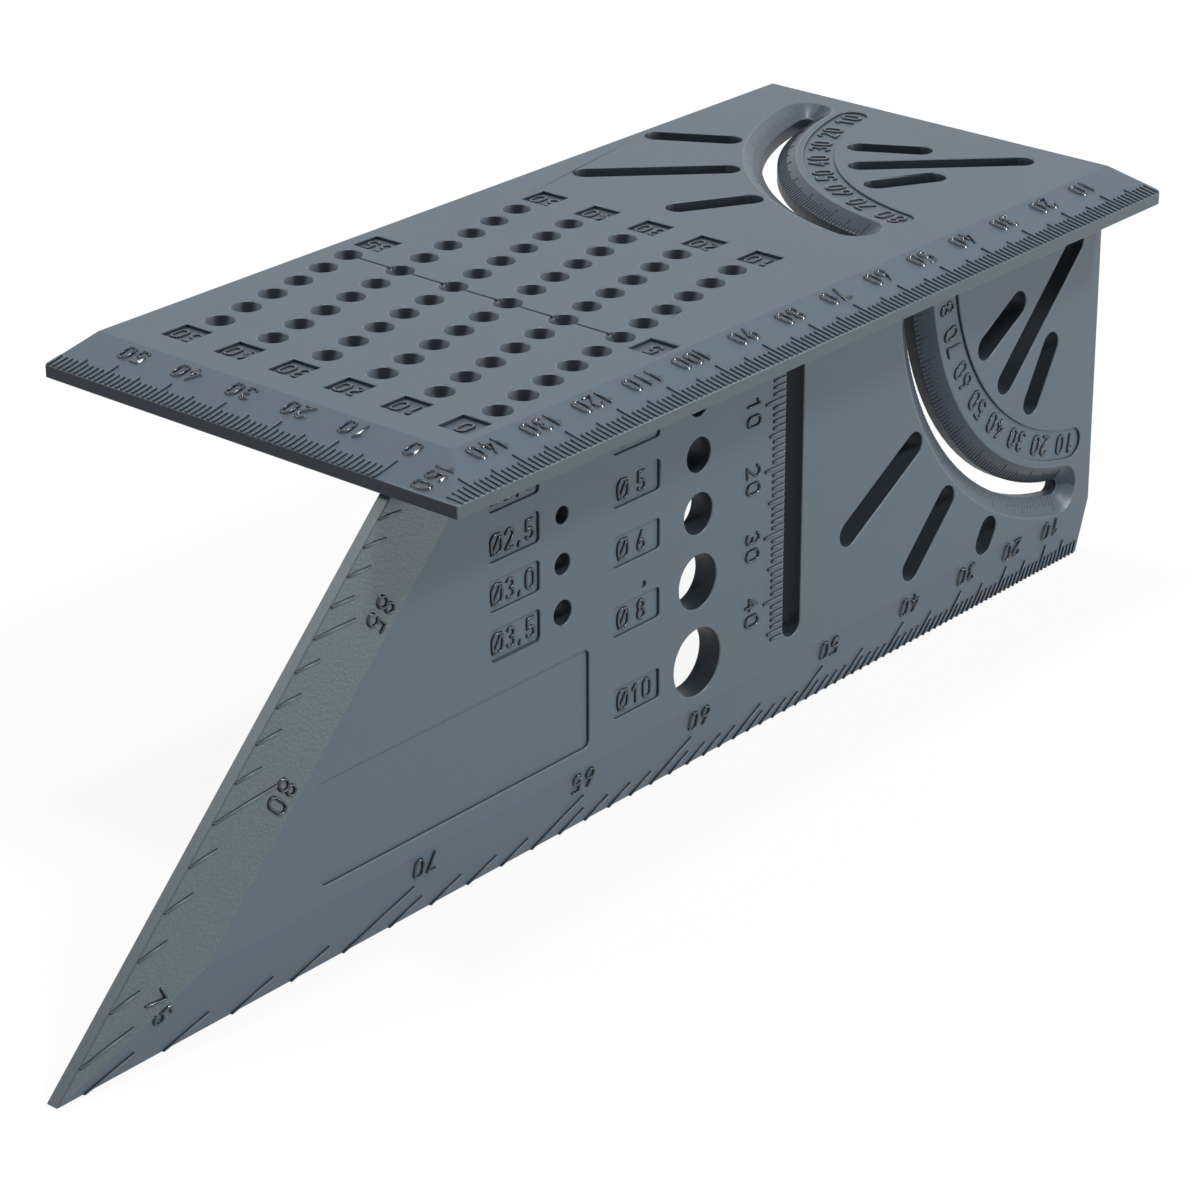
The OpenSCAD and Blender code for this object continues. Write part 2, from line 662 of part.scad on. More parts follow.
// Tenths follow a decimal comma. The small holes all show them, and the large ones where they have some.
// A single whole digit has half a space on either side.
function tenths(d) = round((d - floor(d)) * major_every);
function diameter_text(d) = str("D", floor(d), ",", tenths(d));
function whole_text(d) = d < major_every ? str("D ", d, " ") : str("D", d);

module large_gauge_labels() color(plastic_mark) side_frame()
    for (i = [0 : large_count - 1]) {
        d = large_bores[i];
        translate([large_column_u + large_label_gap, large_v(i), 0])
            gauge_label(tenths(d) == 0 ? whole_text(d) : diameter_text(d));
    }

module small_gauge_labels() color(plastic_mark) side_frame()
    for (i = [0 : small_count - 1])
        translate([small_column_u + small_label_gap, small_v(i), 0])
            gauge_label(diameter_text(small_bores[i]));

// Degrees from the pivot at the origin, read where a ray crosses the bottom edge
module angle_scale_ticks() color(plastic_mark) side_frame() raised_on_side(relief)
    for (a = [1 : last_bottom_angle])
        ray_bar(a, (side_drop - angle_mark(a)) / cos(a), side_drop / cos(a) + cut_over);

// The first numeral between the tens stands out past its ray
first_five_angle = last_tens_angle + minor_every;
first_five_shift = 2;
module angle_scale_numerals() color(plastic_mark) side_frame() raised_on_side(text_relief) {
    bottom_labels = concat([for (a = [major_every : major_every : last_tens_angle]) a],
        [for (a = [first_five_angle : minor_every : last_bottom_angle]) a]);
    for (a = bottom_labels) {
        shift = a == first_five_angle ? first_five_shift : 0;
        translate([(side_drop - angle_text_foot) * tan(a) + shift, side_drop - angle_text_gap, -wall])
            lettering(str(a), angle_text_h, wall + text_relief + cut_over);
    }
}

// Steeper rays cross the slanted edge
module slant_scale_ticks() color(plastic_mark) side_frame() raised_on_side(relief)
    for (a = [first_slant_angle : last_slant_angle])
        ray_bar(a, slant_ray(a, slant_mark(a)), slant_ray(a, 0) + cut_over);

// The lowest numeral lies on its ray and reads down into the tip. The others run along the slanted edge
// and lie a little below their rays, by a share of the angle that is left to the level.
slant_lag_share = 0.054;
low_text_turn = 110;
module slant_scale_numerals() color(plastic_mark) side_frame() raised_on_side(text_relief)
    for (a = [first_slant_angle : last_slant_angle])
        if (a % minor_every == 0) {
            lowest = a == first_slant_angle;
            place_angle = lowest ? a : a - slant_lag_share * (quarter_turn - a);
            on_ray(place_angle, slant_ray(place_angle, lowest ? low_text_gap : slant_text_gap))
                translate([0, 0, -wall]) rotate(place_angle + (lowest ? low_text_turn : slant_angle))
                    lettering(str(a), angle_text_h, wall + text_relief + cut_over);
        }

top_leaf();
front_lip();
side_leaf();
long_scale_ticks();
long_scale_numerals();
end_scale_ticks();
end_scale_numerals();
row_label_numerals();
top_protractor_ticks();
top_protractor_numerals();
side_protractor_ticks();
side_protractor_numerals();
depth_scale_ticks();
depth_scale_numerals();
large_gauge_labels();
small_gauge_labels();
angle_scale_ticks();
angle_scale_numerals();
slant_scale_ticks();
slant_scale_numerals();
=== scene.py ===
"""Looks of the multi-angle marking ruler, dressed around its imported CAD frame.

The ruler is one rigid L of moulded plastic. Its two leaves are taken from the frame and get softened
arrises, and every raised mark and numeral is swept as a rounded stroke on the place of its CAD node.
All lengths are metres in the frame of the CAD: the origin is the inner corner at the right end, X runs
along the ruler, Y runs back over the workpiece and Z is up.
"""

import logging
import math
from collections.abc import Callable, Iterable
from dataclasses import dataclass
from enum import Enum

import bmesh
import bpy
import numpy as np
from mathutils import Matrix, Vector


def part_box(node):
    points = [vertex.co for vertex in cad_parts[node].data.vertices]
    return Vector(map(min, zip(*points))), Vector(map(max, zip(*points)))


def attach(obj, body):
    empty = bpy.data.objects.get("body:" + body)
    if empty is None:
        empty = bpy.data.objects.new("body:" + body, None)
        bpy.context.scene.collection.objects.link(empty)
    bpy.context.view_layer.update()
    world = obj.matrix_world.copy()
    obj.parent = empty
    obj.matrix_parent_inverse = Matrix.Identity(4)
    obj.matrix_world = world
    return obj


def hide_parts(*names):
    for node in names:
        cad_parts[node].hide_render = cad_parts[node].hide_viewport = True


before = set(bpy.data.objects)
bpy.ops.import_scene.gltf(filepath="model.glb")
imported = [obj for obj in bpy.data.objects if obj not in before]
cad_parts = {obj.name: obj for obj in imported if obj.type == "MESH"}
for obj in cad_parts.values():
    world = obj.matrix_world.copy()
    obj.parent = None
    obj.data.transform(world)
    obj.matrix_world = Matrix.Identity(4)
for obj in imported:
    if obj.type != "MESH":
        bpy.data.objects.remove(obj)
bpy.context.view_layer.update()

LOG = logging.getLogger("marking_ruler")
BODY = "root"
MM = 0.001

MAJOR = 10
HUNDRED = 100
MINOR = 5
QUARTER = 90.0
HALF = 180.0
SLANT = 45.0
TINY = 1e-6

PAINTED_LIGHT = "sheen"

Pair = tuple[float, float]
Triple = tuple[float, float, float]
Colour = Triple
Strokes = tuple[tuple[float, ...], ...]
Socket = bpy.types.NodeSocket
Feed = Socket | float
WHITE: Colour = (1.0, 1.0, 1.0)
HeightField = Callable[[np.ndarray], np.ndarray]


# Meshes


@dataclass
class Shell:
    """A surface that is still being put together: its points, and blocks of faces of one kind each."""

    points: np.ndarray
    faces: list[np.ndarray]


def joined(shells: Iterable[Shell]) -> Shell:
    """Puts shells one after another in one shell.

    Args:
        shells: The shells, which keep their own points.

    Returns:
        One shell with every point and face.
    """
    points: list[np.ndarray] = []
    faces: list[np.ndarray] = []
    start = 0
    for shell in shells:
        points.append(shell.points)
        faces.extend(block + start for block in shell.faces)
        start += len(shell.points)
    return Shell(np.concatenate(points), faces)


def tube_faces(rings: int, around: int) -> list[np.ndarray]:
    """Quads of a grid of closed rings, with a face over its first and its last ring.

    Args:
        rings: Number of rings along the tube.
        around: Number of points in a ring.

    Returns:
        The quads and the two end faces, which point outwards where a ring turns anticlockwise seen
        from the tube's end.
    """
    index = np.arange(rings * around).reshape(rings, around)
    near, far = index[:-1], index[1:]
    quads = np.stack([near, np.roll(near, -1, 1), np.roll(far, -1, 1), far], axis=-1).reshape(-1, 4)
    return [quads, np.stack([index[0, ::-1], index[-1]])]


def linked(name: str, data: bpy.types.ID) -> bpy.types.Object:
    """Makes an object at the origin from its data and links it to the scene.

    Args:
        name: Name of the object.
        data: A mesh, a lamp or a camera.

    Returns:
        The object.
    """
    thing = bpy.data.objects.new(name, data)
    bpy.context.scene.collection.objects.link(thing)
    return thing


def mesh_object(name: str, shell: Shell, smooth: bool = True) -> bpy.types.Object:
    """Makes an object at the origin from a shell.

    Args:
        name: Name of the object.
        shell: Points in metres, and faces.
        smooth: True for smooth shading.

    Returns:
        The object, linked to the scene.
    """
    mesh = bpy.data.meshes.new(name)
    mesh.from_pydata(shell.points.tolist(), [], [face for block in shell.faces for face in block.tolist()])
    mesh.polygons.foreach_set("use_smooth", np.full(len(mesh.polygons), smooth))
    mesh.update()
    return linked(name, mesh)


def read_all(items: bpy.types.bpy_prop_collection, name: str, kind: type = np.float32,
             width: int = 1) -> np.ndarray:
    """Reads one property of all items of a mesh.

    Args:
        items: The mesh's faces or its normals.
        name: Name of the property.
        kind: Type of its numbers.
        width: How many numbers an item has.

    Returns:
        One row for each item, or one number where the width is one.
    """
    values = np.empty(len(items) * width, kind)
    items.foreach_get(name, values)
    return values.reshape(-1, width) if width > 1 else values


# Sizes and faces of the ruler


TOP_LOW, TOP_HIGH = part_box("top_leaf")
LIP_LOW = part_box("front_lip")[0]
SIDE_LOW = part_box("side_leaf")[0]
FRAME_DIGITS = 5


def frame_length(value: float) -> float:
    """A length read from the frame, in metres to a hundredth of a millimetre."""
    return round(abs(value), FRAME_DIGITS)


@dataclass(frozen=True)
class RulerSizes:
    """Sizes of the ruler that its marks are placed by, in metres. The outer ones come from the frame."""

    top_length: float = frame_length(TOP_LOW.x)
    top_depth: float = frame_length(TOP_HIGH.y)
    lip_depth: float = frame_length(LIP_LOW.y)
    side_drop: float = frame_length(SIDE_LOW.z)
    side_top_length: float = frame_length(SIDE_LOW.x - SIDE_LOW.z)
    wall: float = frame_length(TOP_HIGH.z)
    bevel_w: float = 9.7 * MM
    edge_t: float = 1.9 * MM
    relief: float = 0.25 * MM
    text_relief: float = 0.35 * MM
    recess: float = 0.4 * MM
    row_recess: float = 0.6 * MM
    mark_w: float = 0.42 * MM
    stroke_w: float = 0.45 * MM
    sink: float = 0.08 * MM
    arc_r: float = 47.2 * MM


SIZES = RulerSizes()


@dataclass(frozen=True)
class OuterLine:
    """An outer line of a leaf, as a point on it and the direction into the leaf."""

    point: Pair
    inward: Pair

    def inset(self, spots: np.ndarray) -> np.ndarray:
        """Distance of spots from the line, into the leaf."""
        return (spots - self.point) @ np.array(self.inward)


@dataclass(frozen=True)
class LeafFace:
    """The outer face of a leaf with its edge bevels, as a height over a flat plane.

    A spot is a pair of coordinates in that plane, along its a and b axes.
    """

    origin: Triple
    a_axis: Triple
    b_axis: Triple
    normal: Triple
    bevels: tuple[OuterLine, ...]
    edges: tuple[OuterLine, ...]

    def height(self, spots: np.ndarray) -> np.ndarray:
        """Height of the face: zero on the flat, and falling in a straight line to a bevel's outer line."""
        falls = [np.clip(1 - bevel.inset(spots) / SIZES.bevel_w, 0, 1) for bevel in self.bevels]
        return -(SIZES.wall - SIZES.edge_t) * np.max(falls, axis=0)

    def kept(self, spots: np.ndarray) -> np.ndarray:
        """Moves spots that pass a bevel's outer line straight back onto it.

        Args:
            spots: Spots of the plane, in the last axis.

        Returns:
            The spots, none of them past a line.
        """
        for bevel in self.bevels:
            spots = spots + np.maximum(-bevel.inset(spots), 0)[..., None] * bevel.inward
        return spots

    def local(self, point: np.ndarray) -> tuple[np.ndarray, float]:
        """Spot and height over the plane of a point in the CAD frame."""
        place = np.array([self.a_axis, self.b_axis, self.normal]) @ (np.array(point) - self.origin)
        return place[:2], place[2]

    def placed(self, spots: np.ndarray, heights: np.ndarray) -> np.ndarray:
        """Points in the CAD frame from spots and heights over the plane."""
        axes = np.array([self.a_axis, self.b_axis, self.normal])
        return np.array(self.origin) + np.concatenate([spots, heights[..., None]], axis=-1) @ axes


# Sine and cosine of the slanted end's angle
SLOPE = math.sqrt(0.5)
FRONT_EDGE = OuterLine((0, -SIZES.lip_depth), (0, 1))
STOP_EDGE = OuterLine((-SIZES.top_length, 0), (1, 0))
REAR_EDGE = OuterLine((0, SIZES.top_depth), (0, -1))
BOTTOM_EDGE = OuterLine((0, SIZES.side_drop), (0, -1))
SLANTED_EDGE = OuterLine((SIZES.side_top_length, 0), (-SLOPE, SLOPE))
TOP_FACE = LeafFace(
    origin=(0, 0, SIZES.wall), a_axis=(1, 0, 0), b_axis=(0, 1, 0), normal=(0, 0, 1),
    bevels=(FRONT_EDGE, STOP_EDGE), edges=(FRONT_EDGE, REAR_EDGE, OuterLine((0, 0), (-1, 0))),
)
SIDE_FACE = LeafFace(
    origin=(0, -SIZES.wall, 0), a_axis=(-1, 0, 0), b_axis=(0, 0, -1), normal=(0, -1, 0),
    bevels=(BOTTOM_EDGE, SLANTED_EDGE), edges=(BOTTOM_EDGE, SLANTED_EDGE, OuterLine((0, 0), (1, 0))),
)


# Strokes


class Stroke(Enum):
    """Cross-sections of a raised stroke."""

    DRAFTED = "leaning walls and a narrow round top"
    BAR = "upright walls and a flat top"


BAR_POWER = 5.0
# Part of a quarter circle that a stroke's rounded end turns by
END_SHARE = 0.93
# Right half of the drafted section from its sunk foot to its top, in half widths and heights
DRAFT_ACROSS_SHARES = (1.12, 1.01, 0.90, 0.79, 0.69, 0.60, 0.42, 0.15)
DRAFT_RISE_SHARES = (-1.0, 0.0, 0.23, 0.46, 0.67, 0.8, 0.92, 1.0)


@dataclass(frozen=True)
class StrokeShape:
    """Width, height and form of a raised stroke.

    The points around it are those of a bar's section. Its ends stand out by a share of half its width.
    """

    width: float
    height: float
    form: Stroke
    around: int = 12
    end_steps: int = 3
    end_share: float = 1.0

    def ring(self) -> tuple[np.ndarray, np.ndarray]:
        """Cross-section as offsets across the stroke and heights over its base.

        A bar is a superellipse whose upper half is as high as the stroke. A drafted stroke has walls
        that lean in, as the mould needs them, and a round top. Either sinks a little under the surface.

        Returns:
            Offsets and heights, one value for each point of a ring.
        """
        if self.form is Stroke.DRAFTED:
            half = np.array(DRAFT_ACROSS_SHARES)
            across = np.concatenate([half, -half[::-1]])
            rise = np.array(DRAFT_RISE_SHARES + DRAFT_RISE_SHARES[::-1])
        else:
            turn = np.arange(self.around) * 2 * np.pi / self.around + np.pi / self.around
            across = np.sign(np.cos(turn)) * np.abs(np.cos(turn)) ** (2 / BAR_POWER)
            rise = np.sign(np.sin(turn)) * np.abs(np.sin(turn)) ** (2 / BAR_POWER)
        return across * self.width / 2, np.where(rise > 0, rise * self.height, rise * SIZES.sink)

    def swept(self, face: LeafFace, path: np.ndarray, base: HeightField) -> Shell:
        """Carries the section along a path on a face.

        The ends are rounded: the section shrinks along a quarter circle, past the path's last point.

        Args:
            face: The face that carries the stroke.
            path: Points of the path in the face's plane, one row each.
            base: Height of the surface under the stroke.

        Returns:
            A closed shell.
        """
        tangent = np.gradient(path, axis=0)
        tangent /= np.linalg.norm(tangent, axis=1, keepdims=True)
        angle = np.linspace(0, np.pi / 2, self.end_steps + 1)[1:] * END_SHARE
        out = np.sin(angle) * self.end_share * self.width / 2
        small = np.cos(angle)
        head = path[0] - out[::-1, None] * tangent[0]
        tail = path[-1] + out[:, None] * tangent[-1]
        line = np.concatenate([head, path, tail])
        along = np.concatenate([np.repeat(tangent[:1], self.end_steps, 0), tangent,
                                np.repeat(tangent[-1:], self.end_steps, 0)])
        size = np.concatenate([small[::-1], np.ones(len(path)), small])
        across, rise = self.ring()
        side = np.stack([-along[:, 1], along[:, 0]], axis=1)
        spots = face.kept(line[:, None] + side[:, None] * (size[:, None] * across)[..., None])
        heights = base(spots) + np.where(rise > 0, rise * size[:, None], rise)
        return Shell(face.placed(spots, heights).reshape(-1, 3), tube_faces(len(line), len(across)))


# Strokes of the numerals on a grid one text height tall, centred on the character. Straight ones are
# (x, y, x, y), and round ones (x, y, radius, start angle, sweep). A D is the diameter sign and an I a
# narrow one.
ONE = ((0.06, -0.43, 0.06, 0.43), (-0.15, 0.22, 0.06, 0.43))
STRAIGHT: dict[str, Strokes] = {
    "0": ((-0.23, -0.2, -0.23, 0.2), (0.23, -0.2, 0.23, 0.2)),
    "1": ONE,
    "2": ((0.19, 0.08, -0.23, -0.43), (-0.23, -0.43, 0.23, -0.43)),
    "4": ((0.08, 0.43, -0.25, -0.16), (-0.25, -0.16, 0.25, -0.16), (0.09, 0.08, 0.09, -0.43)),
    "5": ((-0.17, 0.43, 0.2, 0.43), (-0.17, 0.43, -0.18, -0.03)),
    "6": ((-0.21, -0.1, 0.06, 0.43),),
    "7": ((-0.23, 0.43, 0.23, 0.43), (0.23, 0.43, -0.07, -0.43)),
    "9": ((0.21, 0.1, -0.06, -0.43),),
    ",": ((0, -0.36, -0.07, -0.53),),
    "D": ((-0.33, -0.12, -0.33, 0.12), (0.33, -0.12, 0.33, 0.12), (-0.27, -0.42, 0.27, 0.42)),
    "I": ONE,
}
CURVED: dict[str, Strokes] = {
    "0": ((0, 0.2, 0.23, 0, 180), (0, -0.2, 0.23, 180, 180)),
    "2": ((0, 0.2, 0.23, -32, 200),),
    "3": ((0, 0.22, 0.21, -90, 240), (0, -0.21, 0.22, -150, 240)),
    "5": ((0, -0.19, 0.24, -150, 290),),
    "6": ((0, -0.2, 0.23, 0, 360),),
    "8": ((0, 0.23, 0.2, 0, 360), (0, -0.2, 0.23, 0, 360)),
    "9": ((0, 0.2, 0.23, 0, 360),),
    "D": ((0, 0.12, 0.33, 0, 180), (0, -0.12, 0.33, 180, 180)),
}
ROOM = {"I": 0.43, " ": 0.4, ",": 0.44, "D": 0.84}
DIGIT_ROOM = 0.8
ARC_STEP = 22.5


def character_paths(character: str) -> list[np.ndarray]:
    """Paths of a character's strokes, on a grid one text height tall.

    A round stroke is a run of points on its circle, one every few degrees.

    Args:
        character: A digit, a comma, a space, a D or an I.

    Returns:
        One array of points for each stroke.
    """
    paths = [np.array(line, float).reshape(2, 2) for line in STRAIGHT.get(character, ())]
    for x, y, radius, start, sweep in CURVED.get(character, ()):
        turn = np.radians(start + np.linspace(0, sweep, round(sweep / ARC_STEP) + 1))
        paths.append(np.stack([x + radius * np.cos(turn), y + radius * np.sin(turn)], axis=1))
    return paths


@dataclass(frozen=True)
class Label:
    """A line of characters on a face: its text, its place and the angle that it is turned by.

    The place is the middle of the line, or else of its first character.
    """

    text: str
    place: Pair
    turn: float
    from_first: bool = False

    def paths(self, height: float) -> list[np.ndarray]:
        """Paths of the label's strokes in the plane of its face.

        Args:
            height: Height of the text.

        Returns:
            One array of points for each stroke.
        """
        rooms = np.array([ROOM.get(c, DIGIT_ROOM) for c in self.text]) * height
        before = rooms[0] if self.from_first else rooms.sum()
        starts = np.cumsum(rooms) - (rooms + before) / 2
        turn = math.radians(self.turn)
        spin = np.array([[math.cos(turn), math.sin(turn)], [-math.sin(turn), math.cos(turn)]])
        return [
            (path * height + (start, 0)) @ spin + self.place
            for c, start in zip(self.text, starts)
            for path in character_paths(c)
        ]


def flat_base(level: float) -> HeightField:
    """Height field of a plane at one level."""
    return lambda spots: np.full(spots.shape[:-1], level)


@dataclass(frozen=True)
class Numerals:
    """The numerals of one CAD node, swept as raised strokes on the face or on a sunk floor."""

    node: str
    face: LeafFace
    labels: tuple[Label, ...]
    text_height: float
    sunk: float = 0.0
    steep_cos: float = 0.8

    def build(self) -> bpy.types.Object:
        """Sweeps every stroke of every label.

        Returns:
            One object in place of the CAD node.
        """
        if self.sunk:
            shape = StrokeShape(SIZES.stroke_w, SIZES.relief, Stroke.BAR, around=16, end_share=0.8)
            base = flat_base(-self.sunk)
        else:
            shape = StrokeShape(SIZES.stroke_w, SIZES.text_relief, Stroke.DRAFTED)
            base = self.face.height
        shells = [
            shape.swept(self.face, path, base)
            for label in self.labels
            for path in label.paths(self.text_height)
        ]
        return mesh_object(self.node + "_swept", joined(shells))


@dataclass(frozen=True)
class Marks:
    """The straight marks of one CAD node, as raised bars between two points each."""

    node: str
    face: LeafFace
    lines: Strokes
    base: HeightField | None = None
    width: float = SIZES.mark_w
    height: float = SIZES.relief
    steep_cos: float = 0.55

    def build(self) -> bpy.types.Object:
        """Sweeps every mark from one end to the other.

        Returns:
            One object in place of the CAD node.
        """
        shape = StrokeShape(self.width, self.height, Stroke.BAR, end_steps=1, end_share=0.25)
        inset = shape.end_share * shape.width / 2
        shells = []
        for line in self.lines:
            ends = np.array(line, float).reshape(2, 2)
            run = ends[1] - ends[0]
            step = run / np.linalg.norm(run) * inset
            path = np.linspace(ends[0] + step, ends[1] - step, 3)
            shells.append(shape.swept(self.face, path, self.base or self.face.height))
        return mesh_object(self.node + "_swept", joined(shells))


Scale = Marks | Numerals


# The scales


def ray_point(angle: float, distance: float) -> Pair:
    """Spot on a ray from the pivot, turned from the b axis towards the a axis."""
    return distance * math.sin(math.radians(angle)), distance * math.cos(math.radians(angle))


@dataclass(frozen=True)
class MarkLengths:
    """Lengths of a scale's marks: the common one, the one at fives and the one at tens."""

    short: float
    middle: float
    long: float

    def at(self, value: int) -> float:
        """Length of the mark of a value."""
        return self.long if value % MAJOR == 0 else self.middle if value % MINOR == 0 else self.short


MILLIMETRES = MarkLengths(2.6 * MM, 3.4 * MM, 4.3 * MM)


@dataclass(frozen=True)
class TopScales:
    """Millimetre scales, row labels and protractor of the top leaf."""

    face: LeafFace = TOP_FACE
    numeral_gap: float = 7.2 * MM
    numeral_lead: float = 0.8 * MM
    numeral_h: float = 3.1 * MM
    row_numeral_h: float = 3.2 * MM
    row_pitch: float = 10 * MM
    hole_start: float = 132 * MM
    hole_step: float = 6 * MM
    hole_rise: float = 1 * MM
    row_gap: float = 6.2 * MM
    middle_gap: float = 5.8 * MM
    rows: int = 5
    row_holes: int = 11

    def long_scale(self) -> tuple[Scale, ...]:
        """The long scale, which counts millimetres from the right end.

        Its numerals stand on their heads seen from the front. Each starts beside its mark, and from a
        hundred on with a narrow one.

        Returns:
            The marks and the numerals.
        """
        foot = -SIZES.lip_depth
        count = round(SIZES.top_length / MM)
        lines = tuple((-i * MM, foot, -i * MM, foot + MILLIMETRES.at(i)) for i in range(1, count))
        labels = []
        for i in range(MAJOR, count, MAJOR):
            text = str(i) if i < HUNDRED else "I" + str(i)[1:]
            labels.append(Label(text, (self.numeral_lead - i * MM, foot + self.numeral_gap), HALF, True))
        return (Marks("long_scale_ticks", self.face, lines),
                Numerals("long_scale_numerals", self.face, tuple(labels), self.numeral_h))

    def end_scale(self) -> tuple[Scale, ...]:
        """The end scale, which counts millimetres back from the stop face.

        Returns:
            The marks and the numerals.
        """
        foot = -SIZES.top_length
        count = math.ceil(SIZES.top_depth / MM)
        lines = tuple((foot, i * MM, foot + MILLIMETRES.at(i), i * MM) for i in range(count))
        labels = tuple(Label(str(i), (foot + self.numeral_gap, i * MM), QUARTER)
                       for i in range(0, count, MAJOR))
        return (Marks("end_scale_ticks", self.face, lines),
                Numerals("end_scale_numerals", self.face, labels, self.numeral_h))

    def row_numerals(self) -> Numerals:
        """Numerals in the sunk fields at the ends of the hole rows.

        Returns:
            The labels of both columns, and of the middle row before and behind the holes.
        """
        last = self.hole_start - (self.row_holes - 1) * self.hole_step
        middle = self.row_holes // 2
        centre = self.hole_start - middle * self.hole_step
        places = [(self.hole_start + self.row_gap, r * self.row_pitch, r * MAJOR)
                  for r in range(self.rows + 1)]
        places += [(last - self.row_gap, r * self.row_pitch, r * MAJOR) for r in range(1, self.rows + 1)]
        places.append((centre, middle * self.hole_rise - self.middle_gap, middle))
        places.append((centre - self.hole_step, self.rows * self.row_pitch + middle * self.hole_rise,
                       self.rows * MAJOR + middle))
        labels = tuple(Label(str(value), (-u, v), QUARTER) for u, v, value in places)
        return Numerals("row_label_numerals", self.face, labels, self.row_numeral_h, SIZES.row_recess)


@dataclass(frozen=True)
class Protractor:
    """The protractor that both leaves carry: a numeral band and a grooved arc slot.

    Its hand is minus one where it is mirrored. A steep cosine past one puts painted shade on its marks all
    over.
    """

    face: LeafFace
    prefix: str
    hand: int
    band_r: float = 39.85 * MM
    groove_w: float = 8 * MM
    slot_w: float = 2.3 * MM
    groove_h: float = 1.7 * MM
    numeral_h: float = 3.3 * MM
    first: int = 10
    last: int = 80
    tick_w: float = 0.16 * MM
    tick_h: float = 0.09 * MM
    tick_steep_cos: float = 1.1
    outer_sink: float = 0.065 * MM
    tick_shares: MarkLengths = MarkLengths(0.5, 0.6, 0.75)
    worn_from: int = 70
    worn_share: float = 0.25

    def flank(self, spots: np.ndarray) -> np.ndarray:
        """Height of the groove's flanks, which fall in a straight line towards the slot."""
        inset = self.groove_w / 2 - np.abs(np.linalg.norm(spots, axis=-1) - SIZES.arc_r)
        return -self.groove_h * np.clip(inset / ((self.groove_w - self.slot_w) / 2), 0, 1)

    def tick_floor(self, spots: np.ndarray) -> np.ndarray:
        """Height of the flanks under the degree marks, which lie deeper on the outer flank."""
        return self.flank(spots) - self.outer_sink * (np.linalg.norm(spots, axis=-1) > SIZES.arc_r)

    def tick_share(self, angle: int) -> float:
        """Share of the flank that a degree mark crosses, from the slot outwards."""
        worn = angle >= self.worn_from and angle % MINOR
        return self.worn_share if worn else self.tick_shares.at(angle)

    def scale(self) -> tuple[Scale, ...]:
        """Degree marks on both flanks, and numerals in the sunk band with their tops away from the pivot.

        Returns:
            The marks and the numerals.
        """
        foot = self.slot_w / 2
        lines = []
        for side in (-1, 1):
            for angle in range(self.first, self.last + 1):
                reach = foot + self.tick_share(angle) * (self.groove_w / 2 - foot)
                outer = ray_point(angle, SIZES.arc_r + side * reach)
                inner = ray_point(angle, SIZES.arc_r + side * foot)
                lines.append((self.hand * outer[0], outer[1], self.hand * inner[0], inner[1]))
        labels = []
        for angle in range(self.first, self.last + 1, MAJOR):
            a, b = ray_point(angle, self.band_r)
            labels.append(Label(str(angle), (self.hand * a, b), -self.hand * angle))
        return (Marks(self.prefix + "_protractor_ticks", self.face, tuple(lines), self.tick_floor,
                      self.tick_w, self.tick_h, self.tick_steep_cos),
                Numerals(self.prefix + "_protractor_numerals", self.face, tuple(labels), self.numeral_h,
                         SIZES.recess))


